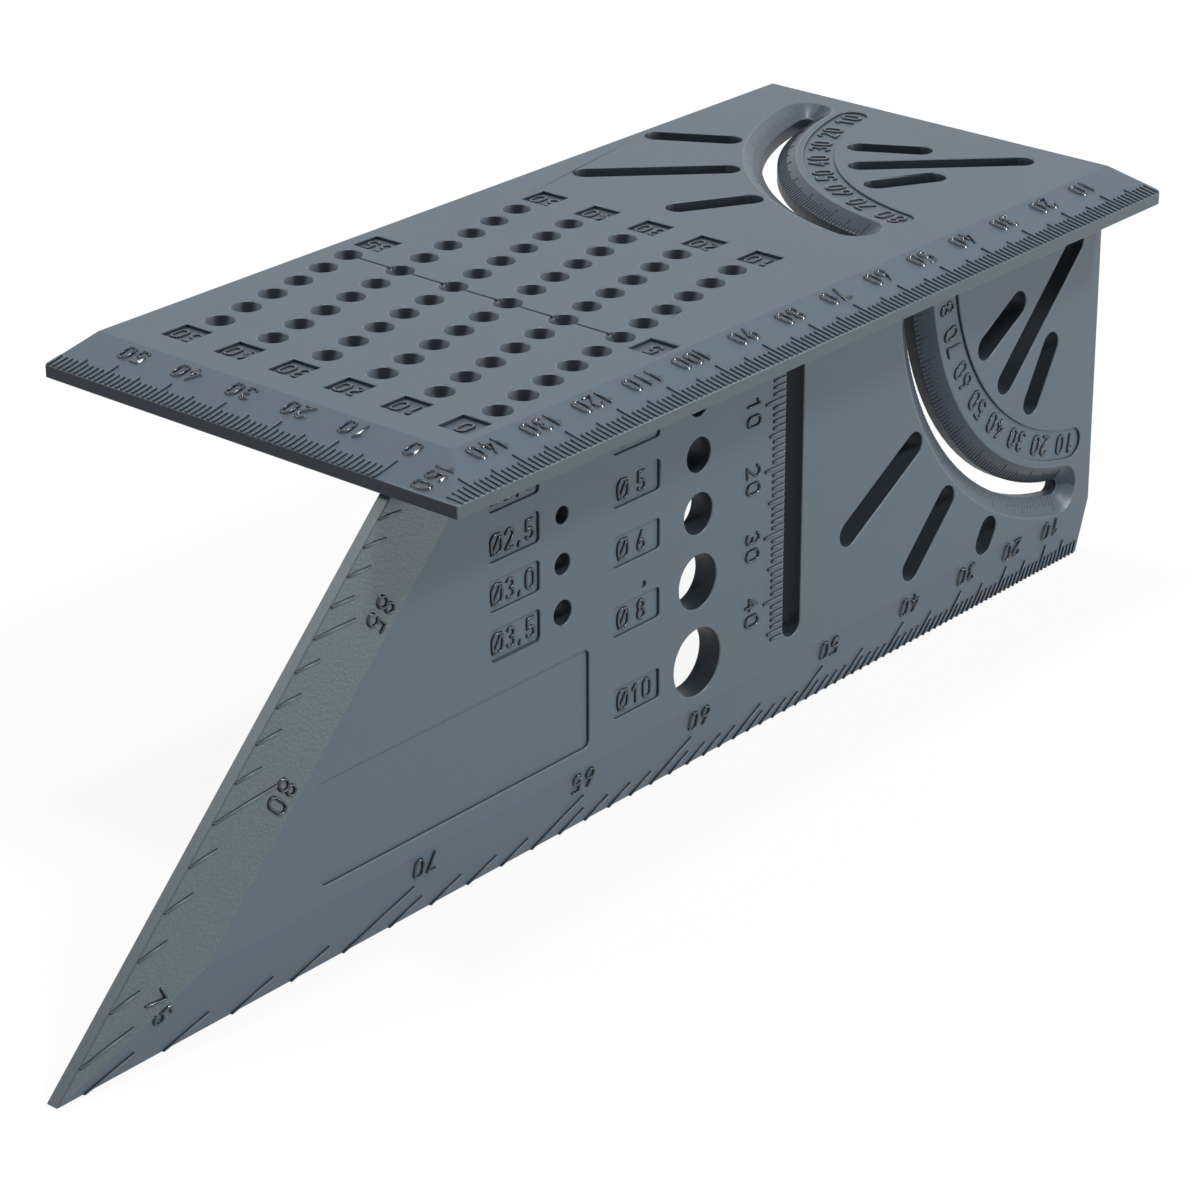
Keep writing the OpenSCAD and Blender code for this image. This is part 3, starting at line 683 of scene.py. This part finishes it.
@dataclass(frozen=True)
class SideScales:
    """Depth scale, drill gauge labels and angle scales of the side leaf.

    The numerals of the slanted end fall behind their rays by a share of the angle up to level.
    """

    face: LeafFace = SIDE_FACE
    slot_u: float = 75 * MM
    slot_w: float = 4 * MM
    mark_gap: float = 0.3 * MM
    depth_marks_count: int = 46
    depth_text_gap: float = 9.2 * MM
    depth_text_drop: float = 0.25 * MM
    text_h: float = 3.2 * MM
    gauge_text_h: float = 3.1 * MM
    large_u: float = 109 * MM
    large_v: tuple[float, ...] = (5.2 * MM, 12.8 * MM, 21.4 * MM, 31.5 * MM, 43.6 * MM)
    large_d: tuple[int, ...] = (4, 5, 6, 8, 10)
    small_u: float = 133.3 * MM
    small_first_v: float = 5.4 * MM
    small_pitch: float = 6.95 * MM
    small_text: tuple[str, ...] = ("2,0", "2,5", "3,0", "3,5")
    bottom: MarkLengths = MarkLengths(2.3 * MM, 3.8 * MM, 4.6 * MM)
    bottom_text_gap: float = 7.4 * MM
    bottom_text_foot: float = 5.15 * MM
    first_five_shift: float = 2 * MM
    last_bottom: int = 74
    last_tens: int = 60
    slant: MarkLengths = MarkLengths(2.5 * MM, 4.3 * MM, 5.8 * MM)
    slant_text_gap: float = 7.3 * MM
    slant_lag_share: float = 0.054
    low_text_gap: float = 6.3 * MM
    low_text_turn: float = 110.0
    last_slant: int = 89

    def slant_ray(self, angle: float, inset: float) -> float:
        """Distance along a ray from the pivot to a line parallel to the slanted edge."""
        return (SIZES.side_top_length * SLOPE - inset) / math.sin(math.radians(angle - SLANT))

    def depth_scale(self) -> tuple[Scale, ...]:
        """The millimetre scale beside the upright slot, whose numerals read along it.

        Returns:
            The marks and the numerals.
        """
        foot = self.slot_u + self.slot_w / 2 + self.mark_gap
        count = self.depth_marks_count
        lines = tuple((foot, i * MM, foot + MILLIMETRES.at(i), i * MM) for i in range(1, count + 1))
        u = self.slot_u + self.depth_text_gap
        labels = tuple(Label(str(i), (u, i * MM + self.depth_text_drop), QUARTER)
                       for i in range(MAJOR, count, MAJOR))
        return (Marks("depth_scale_ticks", self.face, lines),
                Numerals("depth_scale_numerals", self.face, labels, self.text_h))

    def gauge_labels(self) -> tuple[Scale, ...]:
        """Diameter labels of the gauge holes. A large single digit has half a space beside it.

        Returns:
            The large labels and the small ones.
        """
        large = tuple(Label(f"D {d} " if d < MAJOR else f"D{d}", (self.large_u, v), HALF)
                      for d, v in zip(self.large_d, self.large_v))
        small = tuple(Label("D" + text, (self.small_u, self.small_first_v + i * self.small_pitch), HALF)
                      for i, text in enumerate(self.small_text))
        return tuple(Numerals(node, self.face, labels, self.gauge_text_h, SIZES.recess)
                     for node, labels in (("large_gauge_labels", large), ("small_gauge_labels", small)))

    def bottom_height(self, angle: int) -> float:
        """Height over the bottom edge that a degree mark reaches."""
        five_as_ten = angle > self.last_tens and angle % MINOR == 0
        return self.bottom.long if five_as_ten else self.bottom.at(angle)

    def bottom_scale(self) -> tuple[Scale, ...]:
        """The angle scale, with a mark where the ray of a whole degree crosses the bottom edge.

        The first numeral between the tens stands out past its ray.

        Returns:
            The marks and the numerals.
        """
        lines, labels = [], []
        for angle in range(1, self.last_bottom + 1):
            flat = math.cos(math.radians(angle))
            near = ray_point(angle, (SIZES.side_drop - self.bottom_height(angle)) / flat)
            lines.append(near + ray_point(angle, SIZES.side_drop / flat))
        first_five = self.last_tens + MINOR
        foot = SIZES.side_drop - self.bottom_text_foot
        for angle in (*range(MAJOR, first_five, MAJOR), *range(first_five, self.last_bottom, MINOR)):
            shift = self.first_five_shift if angle == first_five else 0
            place = (foot * math.tan(math.radians(angle)) + shift, SIZES.side_drop - self.bottom_text_gap)
            labels.append(Label(str(angle), place, 0))
        return (Marks("angle_scale_ticks", self.face, tuple(lines)),
                Numerals("angle_scale_numerals", self.face, tuple(labels), self.text_h))

    def slant_scale(self) -> tuple[Scale, ...]:
        """The scale of the slanted end, with a mark where the ray of a whole degree crosses its edge.

        The lowest numeral reads down into the tip.

        Returns:
            The marks and the numerals.
        """
        first = self.last_bottom + 1
        lines = tuple(ray_point(angle, self.slant_ray(angle, self.slant.at(angle)))
                      + ray_point(angle, self.slant_ray(angle, 0))
                      for angle in range(first, self.last_slant + 1))
        place = ray_point(first, self.slant_ray(first, self.low_text_gap))
        labels = [Label(str(first), place, self.low_text_turn)]
        for angle in range(first + MINOR, self.last_slant + 1, MINOR):
            ray = angle - self.slant_lag_share * (QUARTER - angle)
            place = ray_point(ray, self.slant_ray(ray, self.slant_text_gap))
            labels.append(Label(str(angle), place, SLANT))
        return (Marks("slant_scale_ticks", self.face, lines),
                Numerals("slant_scale_numerals", self.face, tuple(labels), self.text_h))


# Finishes, several of them with painted shade or painted light


def fed(tree: bpy.types.NodeTree, kind: str, feeds: dict[str | int, Feed | Colour],
        **settings: str) -> bpy.types.Node:
    """Adds a node to a tree.

    Args:
        tree: The node tree.
        kind: The node's type, without its first word.
        feeds: What each input takes: a socket, a number or a colour.
        settings: Settings of the node itself.

    Returns:
        The node.
    """
    node = tree.nodes.new("ShaderNode" + kind)
    for name, value in settings.items():
        setattr(node, name, value)
    for key, value in feeds.items():
        if isinstance(value, Socket):
            tree.links.new(value, node.inputs[key])
        else:
            node.inputs[key].default_value = (*value, 1.0) if isinstance(value, tuple) else value
    return node


def maths(tree: bpy.types.NodeTree, kind: str, first: Feed, second: Feed) -> Socket:
    """Output of a Math node with two inputs."""
    return fed(tree, "Math", {0: first, 1: second}, operation=kind).outputs[0]


def blended(tree: bpy.types.NodeTree, share: Socket, first: Colour, second: Colour) -> Socket:
    """Output of a Mix node that goes from one colour to another."""
    return fed(tree, "Mix", {"Factor": share, "A": first, "B": second}, data_type="RGBA").outputs["Result"]


GRAIN_DETAIL = 3.0
MOTTLE_DETAIL = 4.0
MOTTLE_SCALE = 60.0
GRAIN_INPUTS = ("Grain scale", "Mottle", "Speckle", "Roughness", "Roughness spread")


def moulded_grain() -> bpy.types.ShaderNodeTree:
    """Shader group of the moulded surface, shared by every finish.

    A fine noise gives the grain of the tool and its speckle, and a wide one the slow unevenness. Both
    are centred, scaled and added: to one for the tint, and to the finish's own roughness.

    Returns:
        The group, with inputs for sizes and strengths and outputs for colour, roughness and height.
    """
    name = "moulded_grain"
    if name in bpy.data.node_groups:
        return bpy.data.node_groups[name]
    group = bpy.data.node_groups.new(name, "ShaderNodeTree")
    for way, kind, labels in (("INPUT", "Float", GRAIN_INPUTS), ("INPUT", "Color", ("Base",)),
                              ("OUTPUT", "Color", ("Colour",)),
                              ("OUTPUT", "Float", ("Roughness", "Height"))):
        for label in labels:
            group.interface.new_socket(label, in_out=way, socket_type="NodeSocket" + kind)
    given = group.nodes.new("NodeGroupInput").outputs
    result = group.nodes.new("NodeGroupOutput").inputs
    where = fed(group, "TexCoord", {}).outputs["Object"]
    fine = fed(group, "TexNoise", {"Vector": where, "Scale": given["Grain scale"],
                                   "Detail": GRAIN_DETAIL}).outputs["Fac"]
    slow = fed(group, "TexNoise", {"Vector": where, "Scale": MOTTLE_SCALE,
                                   "Detail": MOTTLE_DETAIL}).outputs["Fac"]
    # A noise swings about one half
    slow_part = maths(group, "MULTIPLY", maths(group, "SUBTRACT", slow, 0.5), given["Mottle"])
    fine_part = maths(group, "MULTIPLY", maths(group, "SUBTRACT", fine, 0.5), given["Speckle"])
    tint = maths(group, "ADD", maths(group, "ADD", slow_part, fine_part), 1.0)
    colour = fed(group, "VectorMath", {0: given["Base"], "Scale": tint}, operation="SCALE").outputs[0]
    both = maths(group, "SUBTRACT", maths(group, "ADD", slow, fine), 1.0)
    spread = maths(group, "MULTIPLY", both, given["Roughness spread"])
    group.links.new(colour, result["Colour"])
    group.links.new(maths(group, "ADD", spread, given["Roughness"]), result["Roughness"])
    group.links.new(fine, result["Height"])
    return group


@dataclass(frozen=True)
class PlasticFinish:
    """A finish of the moulded plastic. Its painted light colour is blended in where the stored share of
    painted light is high.
    """

    name: str
    base: Colour = (0.072, 0.098, 0.122)
    roughness: float = 0.46
    roughness_spread: float = 0.10
    grain_scale: float = 4200.0
    grain_depth: float = 0.02 * MM
    mottle: float = 0.06
    speckle: float = 0.08
    specular: float = 0.42
    wing: Colour | None = None
    wing_from: float = 0.3
    wing_full: float = 0.85

    def material(self) -> bpy.types.Material:
        """Builds the finish's material once.

        Returns:
            The material.
        """
        if self.name in bpy.data.materials:
            return bpy.data.materials[self.name]
        material = bpy.data.materials.new(self.name)
        material.use_nodes = True
        tree = material.node_tree
        shader = tree.nodes["Principled BSDF"].inputs
        shader["Specular IOR Level"].default_value = self.specular
        grain = tree.nodes.new("ShaderNodeGroup")
        grain.node_tree = moulded_grain()
        values = (self.grain_scale, self.mottle, self.speckle, self.roughness, self.roughness_spread)
        for label, value in zip(GRAIN_INPUTS, values):
            grain.inputs[label].default_value = value
        grain.inputs["Base"].default_value = (*self.base, 1.0)
        # Painted light: the stored share blends the base into the paler colour, on the cones' walls to the
        # left and right of the view
        if self.wing is not None:
            sheen = fed(tree, "Attribute", {}, attribute_name=PAINTED_LIGHT).outputs["Fac"]
            share = fed(tree, "MapRange", {"Value": sheen, "From Min": self.wing_from,
                                           "From Max": self.wing_full}, interpolation_type="SMOOTHSTEP")
            wing = blended(tree, share.outputs["Result"], self.base, self.wing)
            tree.links.new(wing, grain.inputs["Base"])
        bump = fed(tree, "Bump", {"Distance": self.grain_depth, "Height": grain.outputs["Height"]})
        tree.links.new(grain.outputs["Colour"], shader["Base Color"])
        tree.links.new(grain.outputs["Roughness"], shader["Roughness"])
        tree.links.new(bump.outputs["Normal"], shader["Normal"])
        return material


SATIN = PlasticFinish("satin_face")
EDGE_SATIN = PlasticFinish("satin_bevel", base=(0.063, 0.090, 0.118), roughness=0.42)
GRAINED = PlasticFinish("grained_bevel", base=(0.076, 0.104, 0.114), roughness=0.5,
                        grain_scale=2600.0, grain_depth=0.06 * MM, speckle=0.45)
# Painted shade in the groove of the arc slot: the inner flank darkest, the outer one a little darker than
# the face
FLANK = PlasticFinish("turned_flank_painted_shade", base=(0.036, 0.050, 0.068), roughness=0.28, specular=0.25,
                      grain_depth=0.01 * MM)
OUTER_FLANK = PlasticFinish("outer_flank", base=(0.060, 0.082, 0.104), roughness=0.34, specular=0.36,
                            grain_depth=0.01 * MM)
# Painted shade: the pencil cones are near-black inside the holes, with painted light on the walls to the
# left and right of the view
CONE = PlasticFinish("pencil_cone_painted_shade_and_light", base=(0.010, 0.013, 0.019), wing=(0.085, 0.104, 0.126),
                     roughness=0.4, specular=0.12)
OUTER_EDGE = PlasticFinish("outer_edge", base=(0.062, 0.086, 0.096), roughness=0.38)
# Painted shade on the floors of the sunk fields
SHADED_SUNK_FLOOR = PlasticFinish("sunk_floor_painted_shade", base=(0.058, 0.078, 0.099))
# The arrises and the dimple beside the 8 mm label are coloured paler than the face
ARRIS = PlasticFinish("pale_arris", base=(0.085, 0.112, 0.134), roughness=0.36, grain_depth=0.006 * MM)
# Painted shade on the walls of holes, slots and sunk fields
SHADED_CUT_WALL = PlasticFinish("cut_wall_painted_shade", base=(0.034, 0.044, 0.056), roughness=0.42, specular=0.2)
# Painted shade: numeral tops are darker than the face, and glossy
SHADED_SUNK_TOP = PlasticFinish("sunk_numeral_painted_shade", base=(0.040, 0.053, 0.067), roughness=0.12,
                         grain_depth=0.003 * MM)
SHADED_RAISED_TOP = PlasticFinish("raised_numeral_painted_shade", base=(0.040, 0.053, 0.067), roughness=0.3, specular=0.3,
                           grain_depth=0.003 * MM)
# Painted shade on the leaning walls of raised numerals, glossy so that the lamps glint on them
SHADED_RAISED_WALL = PlasticFinish("raised_wall_painted_shade", base=(0.010, 0.015, 0.022), roughness=0.17, specular=0.75,
                            roughness_spread=0.02, grain_depth=0.0005 * MM)
# Painted shade on the steep sides of marks and sunk numerals, and on the protractor's degree marks all over
SHADED_MARK_SIDE = PlasticFinish("mark_side_painted_shade", base=(0.022, 0.028, 0.036), roughness=0.4, specular=0.3,
                          grain_depth=0.004 * MM)


# The two leaves


class LeafSlot(Enum):
    """Material slots of a leaf's mesh."""

    FACE = 0
    BEVEL = 1
    END_BEVEL = 2
    FLANK = 3
    OUTER_FLANK = 4
    CONE = 5
    WALL = 6
    EDGE = 7
    FLOOR = 8
    ARRIS = 9


@dataclass(frozen=True)
class LeafMoulding:
    """A leaf taken from the frame, with softened arrises and joined without a seam.

    The nodes meet each other, or the other leaf, on a plane through the origin across one axis. Edges
    in that plane stay sharp, so the surfaces run on without a line. The cosines are those between the
    normal of a face and the leaf's. The dimple is the small mark beside the 8 mm label.
    """

    name: str
    nodes: tuple[str, ...]
    face: LeafFace
    seam_axis: int
    end_bevel: PlasticFinish
    arris_w: float = 0.15 * MM
    weld: float = 0.001 * MM
    near: float = 0.002 * MM
    arris_angle: float = 25.0
    flat_angle: float = 0.3
    flat_cos: float = 0.9995
    bevel_cos: float = 0.93
    flank_cos: float = 0.8
    cone_cos: float = 0.3
    end_lean: float = 0.1
    edge_near: float = 0.02 * MM
    floor_depths: Pair = (0.5 * MM, 1.0 * MM)
    dimple: Triple = (-107.5 * MM, -SIZES.wall, -27.9 * MM)
    dimple_near: float = 0.8 * MM
    photo_right: Pair = (0.643, -0.766)
    broad_face: float = 2.0 * MM * MM

    def slot_of(self, face: bmesh.types.BMFace) -> LeafSlot:
        """Chooses a face's material slot by how its normal leans and by where it lies.

        Args:
            face: A face of the leaf, in the CAD frame.

        Returns:
            The slot.
        """
        facing = float(np.dot(face.normal, self.face.normal))
        middle = face.calc_center_median()
        spot, height = self.face.local(middle)
        if abs(facing) > self.flat_cos:
            sunk = facing > 0 and self.floor_depths[0] < -height < self.floor_depths[1]
            return LeafSlot.FLOOR if sunk else LeafSlot.FACE
        if facing > self.bevel_cos:
            lean = abs(float(np.dot(face.normal, self.face.a_axis)))
            return LeafSlot.END_BEVEL if lean > self.end_lean else LeafSlot.BEVEL
        if facing > self.flank_cos:
            return LeafSlot.OUTER_FLANK if math.hypot(*spot) > SIZES.arc_r else LeafSlot.FLANK
        if facing > self.cone_cos:
            return LeafSlot.CONE
        if math.dist(middle, self.dimple) < self.dimple_near:
            return LeafSlot.ARRIS
        on_edge = any(abs(edge.inset(spot)) < self.edge_near for edge in self.face.edges)
        return LeafSlot.EDGE if on_edge else LeafSlot.WALL

    def is_arris(self, edge: bmesh.types.BMEdge) -> bool:
        """Tells an outward sharp edge from the others.

        Args:
            edge: An edge of the leaf.

        Returns:
            True for an arris that isn't in the plane where the leaf meets its neighbour.
        """
        if len(edge.link_faces) != 2 or not edge.is_convex:
            return False
        in_seam = all(abs(end.co[self.seam_axis]) < self.near for end in edge.verts)
        return not in_seam and edge.calc_face_angle() > math.radians(self.arris_angle)

    def softened(self, node: str) -> bpy.types.Object:
        """A copy of a CAD node, merged, with its slots set and its arrises rounded.

        Args:
            node: Name of the CAD node.

        Returns:
            A new object, linked to the scene.
        """
        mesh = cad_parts[node].data.copy()
        mesh.materials.clear()
        for finish in (SATIN, EDGE_SATIN, self.end_bevel, FLANK, OUTER_FLANK, CONE, SHADED_CUT_WALL, OUTER_EDGE,
                       SHADED_SUNK_FLOOR, ARRIS):
            mesh.materials.append(finish.material())
        work = bmesh.new()
        work.from_mesh(mesh)
        bmesh.ops.remove_doubles(work, verts=work.verts, dist=self.weld)
        bmesh.ops.dissolve_limit(work, angle_limit=math.radians(self.flat_angle), verts=work.verts,
                                 edges=work.edges)
        # The cone, flank, wall and sunk floor slots take finishes with painted shade, the cones also with
        # painted light
        for face in work.faces:
            face.material_index = self.slot_of(face).value
        bmesh.ops.bevel(work, geom=[edge for edge in work.edges if self.is_arris(edge)],
                        offset=self.arris_w, offset_type="OFFSET", segments=2, profile=0.5,
                        affect="EDGES", clamp_overlap=False, loop_slide=True,
                        material=LeafSlot.ARRIS.value)
        work.to_mesh(mesh)
        work.free()
        return linked(self.name + "_from_" + node, mesh)

    def store_sheen(self, mesh: bpy.types.Mesh) -> None:
        """Stores the painted light of the pencil cones, which are painted paler on both sides of each hole.

        It is the share by which a point's level normal turns to the left or right as seen from the camera,
        so the wall that faces the camera keeps its painted shade.

        Args:
            mesh: The leaf's finished mesh.
        """
        level = read_all(mesh.vertex_normals, "vector", width=3)[:, :2]
        sheen = np.abs(level @ np.array(self.photo_right)) / np.maximum(np.linalg.norm(level, axis=1), TINY)
        mesh.attributes.new(PAINTED_LIGHT, "FLOAT", "POINT").data.foreach_set("value", sheen.astype(np.float32))

    def build(self) -> bpy.types.Object:
        """Joins the softened nodes into one leaf.

        Broad flat faces are shaded flat and the rest smooth, so that the narrow rounded arrises carry
        the whole change from one face to the next.

        Returns:
            One object in place of the leaf's CAD nodes.
        """
        parts = [self.softened(node) for node in self.nodes]
        for other in parts[1:]:
            union = parts[0].modifiers.new("union", "BOOLEAN")
            union.operation = "UNION"
            union.solver = "EXACT"
            union.object = other
        graph = bpy.context.evaluated_depsgraph_get()
        graph.update()
        mesh = bpy.data.meshes.new_from_object(parts[0].evaluated_get(graph))
        for part in parts:
            data = part.data
            bpy.data.objects.remove(part)
            bpy.data.meshes.remove(data)
        mesh.name = self.name
        area = read_all(mesh.polygons, "area")
        slot = read_all(mesh.polygons, "material_index", np.int32)
        wall = (slot == LeafSlot.WALL.value) | (slot == LeafSlot.EDGE.value)
        flat = (slot <= LeafSlot.END_BEVEL.value) | (slot == LeafSlot.FLOOR.value)
        mesh.polygons.foreach_set("use_smooth", ~(flat | (wall & (area > self.broad_face))))
        # Painted light of the cones, high where a wall turns to the left or right of the view
        self.store_sheen(mesh)
        return linked(self.name, mesh)


# The studio


@dataclass(frozen=True)
class SoftBox:
    """A soft area lamp: its place, what it is aimed at, its size and its power."""

    name: str
    place: Triple
    aim: Triple
    size: float
    power: float

    def build(self) -> None:
        """Adds the lamp to the scene, tipped from straight down and then turned towards its aim."""
        data = bpy.data.lights.new(self.name, "AREA")
        data.shape = "DISK"
        data.size = self.size
        data.energy = self.power
        lamp = linked(self.name, data)
        way = np.array(self.aim) - np.array(self.place)
        level = math.hypot(way[0], way[1])
        lamp.location = self.place
        lamp.rotation_euler = (math.atan2(level, -way[2]), 0, math.atan2(way[1], way[0]) - math.pi / 2)


@dataclass(frozen=True)
class Studio:
    """Camera, floor, world and lamps of a plain product photograph."""

    image_size: float = 1200.0
    camera_place: Triple = (-0.481067, -0.315212, 0.193009)
    camera_turn: Triple = (66.93407, -0.12826, -50.04427)
    focal_pixels: float = 3992.80
    centre_pixels: Pair = (638.636, 489.483)
    sensor: float = 36.0
    clip: Pair = (0.01, 50.0)
    floor_gap: float = 0.2 * MM
    floor_half: float = 6.0
    floor_roughness: float = 0.9
    world_colour: Colour = (0.94, 0.97, 1.0)
    world_strength: float = 0.20
    floor_colour: Colour = (0.30, 0.31, 0.32)
    floor_pale: Colour = (0.95, 0.95, 0.95)
    floor_show: float = 0.9
    lamps: tuple[SoftBox, ...] = (
        SoftBox("overhead", (-0.06, 0.10, 1.15), (-0.09, 0.02, 0.0), 0.14, 4.5),
        SoftBox("back_left", (-0.60, 0.79, 0.90), (-0.09, 0.02, 0.0), 0.5, 5.0),
        SoftBox("front_right", (0.52, -1.15, 0.10), (-0.09, 0.0, -0.02), 0.34, 9.8),
        SoftBox("front_high", (0.16, -0.70, 1.00), (-0.09, 0.0, 0.0), 0.2, 8.0),
    )

    def camera(self) -> None:
        """Adds the camera at the photograph's place, with its shift taken from the image centre."""
        data = bpy.data.cameras.new("photo_camera")
        data.sensor_width = self.sensor
        data.lens = self.focal_pixels / self.image_size * self.sensor
        half = self.image_size / 2
        data.shift_x = (half - self.centre_pixels[0]) / self.image_size
        data.shift_y = (self.centre_pixels[1] - half) / self.image_size
        data.clip_start, data.clip_end = self.clip
        camera = linked("photo_camera", data)
        camera.location = self.camera_place
        camera.rotation_euler = tuple(math.radians(turn) for turn in self.camera_turn)
        bpy.context.scene.camera = camera

    @staticmethod
    def shown_rays(tree: bpy.types.NodeTree) -> Socket:
        """Picks the rays that see the white background: camera, glossy and transmission rays.

        Args:
            tree: The node tree of the world or of a material.

        Returns:
            One for such a ray, else zero.
        """
        path = fed(tree, "LightPath", {}).outputs
        seen = maths(tree, "MAXIMUM", path["Is Camera Ray"], path["Is Glossy Ray"])
        return maths(tree, "MAXIMUM", seen, path["Is Transmission Ray"])

    @staticmethod
    def mixed(tree: bpy.types.NodeTree, share: Socket, first: bpy.types.Node,
              second: bpy.types.Node) -> bpy.types.Node:
        """A Mix Shader node between the outputs of two shader nodes."""
        return fed(tree, "MixShader", {0: share, 1: first.outputs[0], 2: second.outputs[0]})

    def world(self) -> None:
        """A plain world that lights the object softly and shows white to the camera."""
        world = bpy.data.worlds.new("studio_world")
        bpy.context.scene.world = world
        world.use_nodes = True
        tree = world.node_tree
        light = tree.nodes["Background"]
        light.inputs["Color"].default_value = (*self.world_colour, 1.0)
        light.inputs["Strength"].default_value = self.world_strength
        white = fed(tree, "Background", {"Color": WHITE, "Strength": 1.0})
        mix = self.mixed(tree, self.shown_rays(tree), light, white)
        tree.links.new(mix.outputs[0], tree.nodes["World Output"].inputs[0])

    def floor(self) -> None:
        """A plain pale floor, white to the camera with the object's soft shadow, and clear from below."""
        half = self.floor_half
        z = -SIZES.side_drop - self.floor_gap
        points = np.array([(-half, -half, z), (half, -half, z), (half, half, z), (-half, half, z)])
        floor = mesh_object("floor", Shell(points, [np.array([(0, 1, 2, 3)])]), smooth=False)
        material = bpy.data.materials.new("pale_floor")
        material.use_nodes = True
        tree = material.node_tree
        shown = self.shown_rays(tree)
        shader = tree.nodes["Principled BSDF"]
        shader.inputs["Roughness"].default_value = self.floor_roughness
        pale = blended(tree, shown, self.floor_colour, self.floor_pale)
        tree.links.new(pale, shader.inputs["Base Color"])
        glow = fed(tree, "Emission", {"Color": WHITE, "Strength": 1.0})
        lit = self.mixed(tree, maths(tree, "MULTIPLY", shown, self.floor_show), shader, glow)
        # Clear from below, so that the underside can be looked at
        camera_ray = fed(tree, "LightPath", {}).outputs["Is Camera Ray"]
        below = maths(tree, "MULTIPLY", camera_ray, fed(tree, "NewGeometry", {}).outputs["Backfacing"])
        seen = self.mixed(tree, below, lit, fed(tree, "BsdfTransparent", {}))
        tree.links.new(seen.outputs[0], tree.nodes["Material Output"].inputs[0])
        floor.data.materials.append(material)

    def build(self) -> None:
        """Builds the whole studio."""
        bpy.context.scene.view_settings.view_transform = "Standard"
        self.camera()
        self.world()
        self.floor()
        for lamp in self.lamps:
            lamp.build()


# Assembly


def finish_marks(piece: bpy.types.Object, scale: Scale) -> None:
    """Gives a scale's tops and its steep sides their finishes, polished where it is raised text, with
    painted shade on the sides and on the numerals' tops.

    Args:
        piece: The scale's object.
        scale: The scale, which knows its face and from where on a side counts as steep.
    """
    mesh = piece.data
    if isinstance(scale, Marks):
        top, wall = SATIN, SHADED_MARK_SIDE
    else:
        top, wall = (SHADED_SUNK_TOP, SHADED_MARK_SIDE) if scale.sunk else (SHADED_RAISED_TOP, SHADED_RAISED_WALL)
    mesh.materials.append(top.material())
    mesh.materials.append(wall.material())
    normals = read_all(mesh.polygons, "normal", width=3)
    # Steep faces take the darker finish, which is painted shade
    steep = normals @ np.array(scale.face.normal) < scale.steep_cos
    mesh.polygons.foreach_set("material_index", steep.astype(np.int32))


def settle(piece: bpy.types.Object, nodes: tuple[str, ...]) -> None:
    """Lets a piece ride on the body and stand for its CAD nodes, which it hides.

    Args:
        piece: The finished piece.
        nodes: CAD nodes that it stands for.
    """
    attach(piece, BODY)
    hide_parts(*nodes)
    LOG.info("%s: %d faces, for %s", piece.name, len(piece.data.polygons), ", ".join(nodes))


def main() -> None:
    """Builds the studio, the leaves and every scale in order."""
    logging.basicConfig(level=logging.INFO, format="%(name)s: %(message)s")
    Studio().build()
    leaves = (
        LeafMoulding("top_moulding", ("top_leaf", "front_lip"), TOP_FACE, seam_axis=1, end_bevel=EDGE_SATIN),
        LeafMoulding("side_moulding", ("side_leaf",), SIDE_FACE, seam_axis=2, end_bevel=GRAINED),
    )
    for leaf in leaves:
        settle(leaf.build(), leaf.nodes)
    top, side = TopScales(), SideScales()
    scales = [*top.long_scale(), *top.end_scale(), top.row_numerals(), *side.depth_scale(),
              *side.gauge_labels(), *side.bottom_scale(), *side.slant_scale()]
    for protractor in (Protractor(TOP_FACE, "top", -1), Protractor(SIDE_FACE, "side", 1)):
        scales += protractor.scale()
    for scale in scales:
        piece = scale.build()
        finish_marks(piece, scale)
        settle(piece, (scale.node,))


if __name__ == "__main__":
    main()
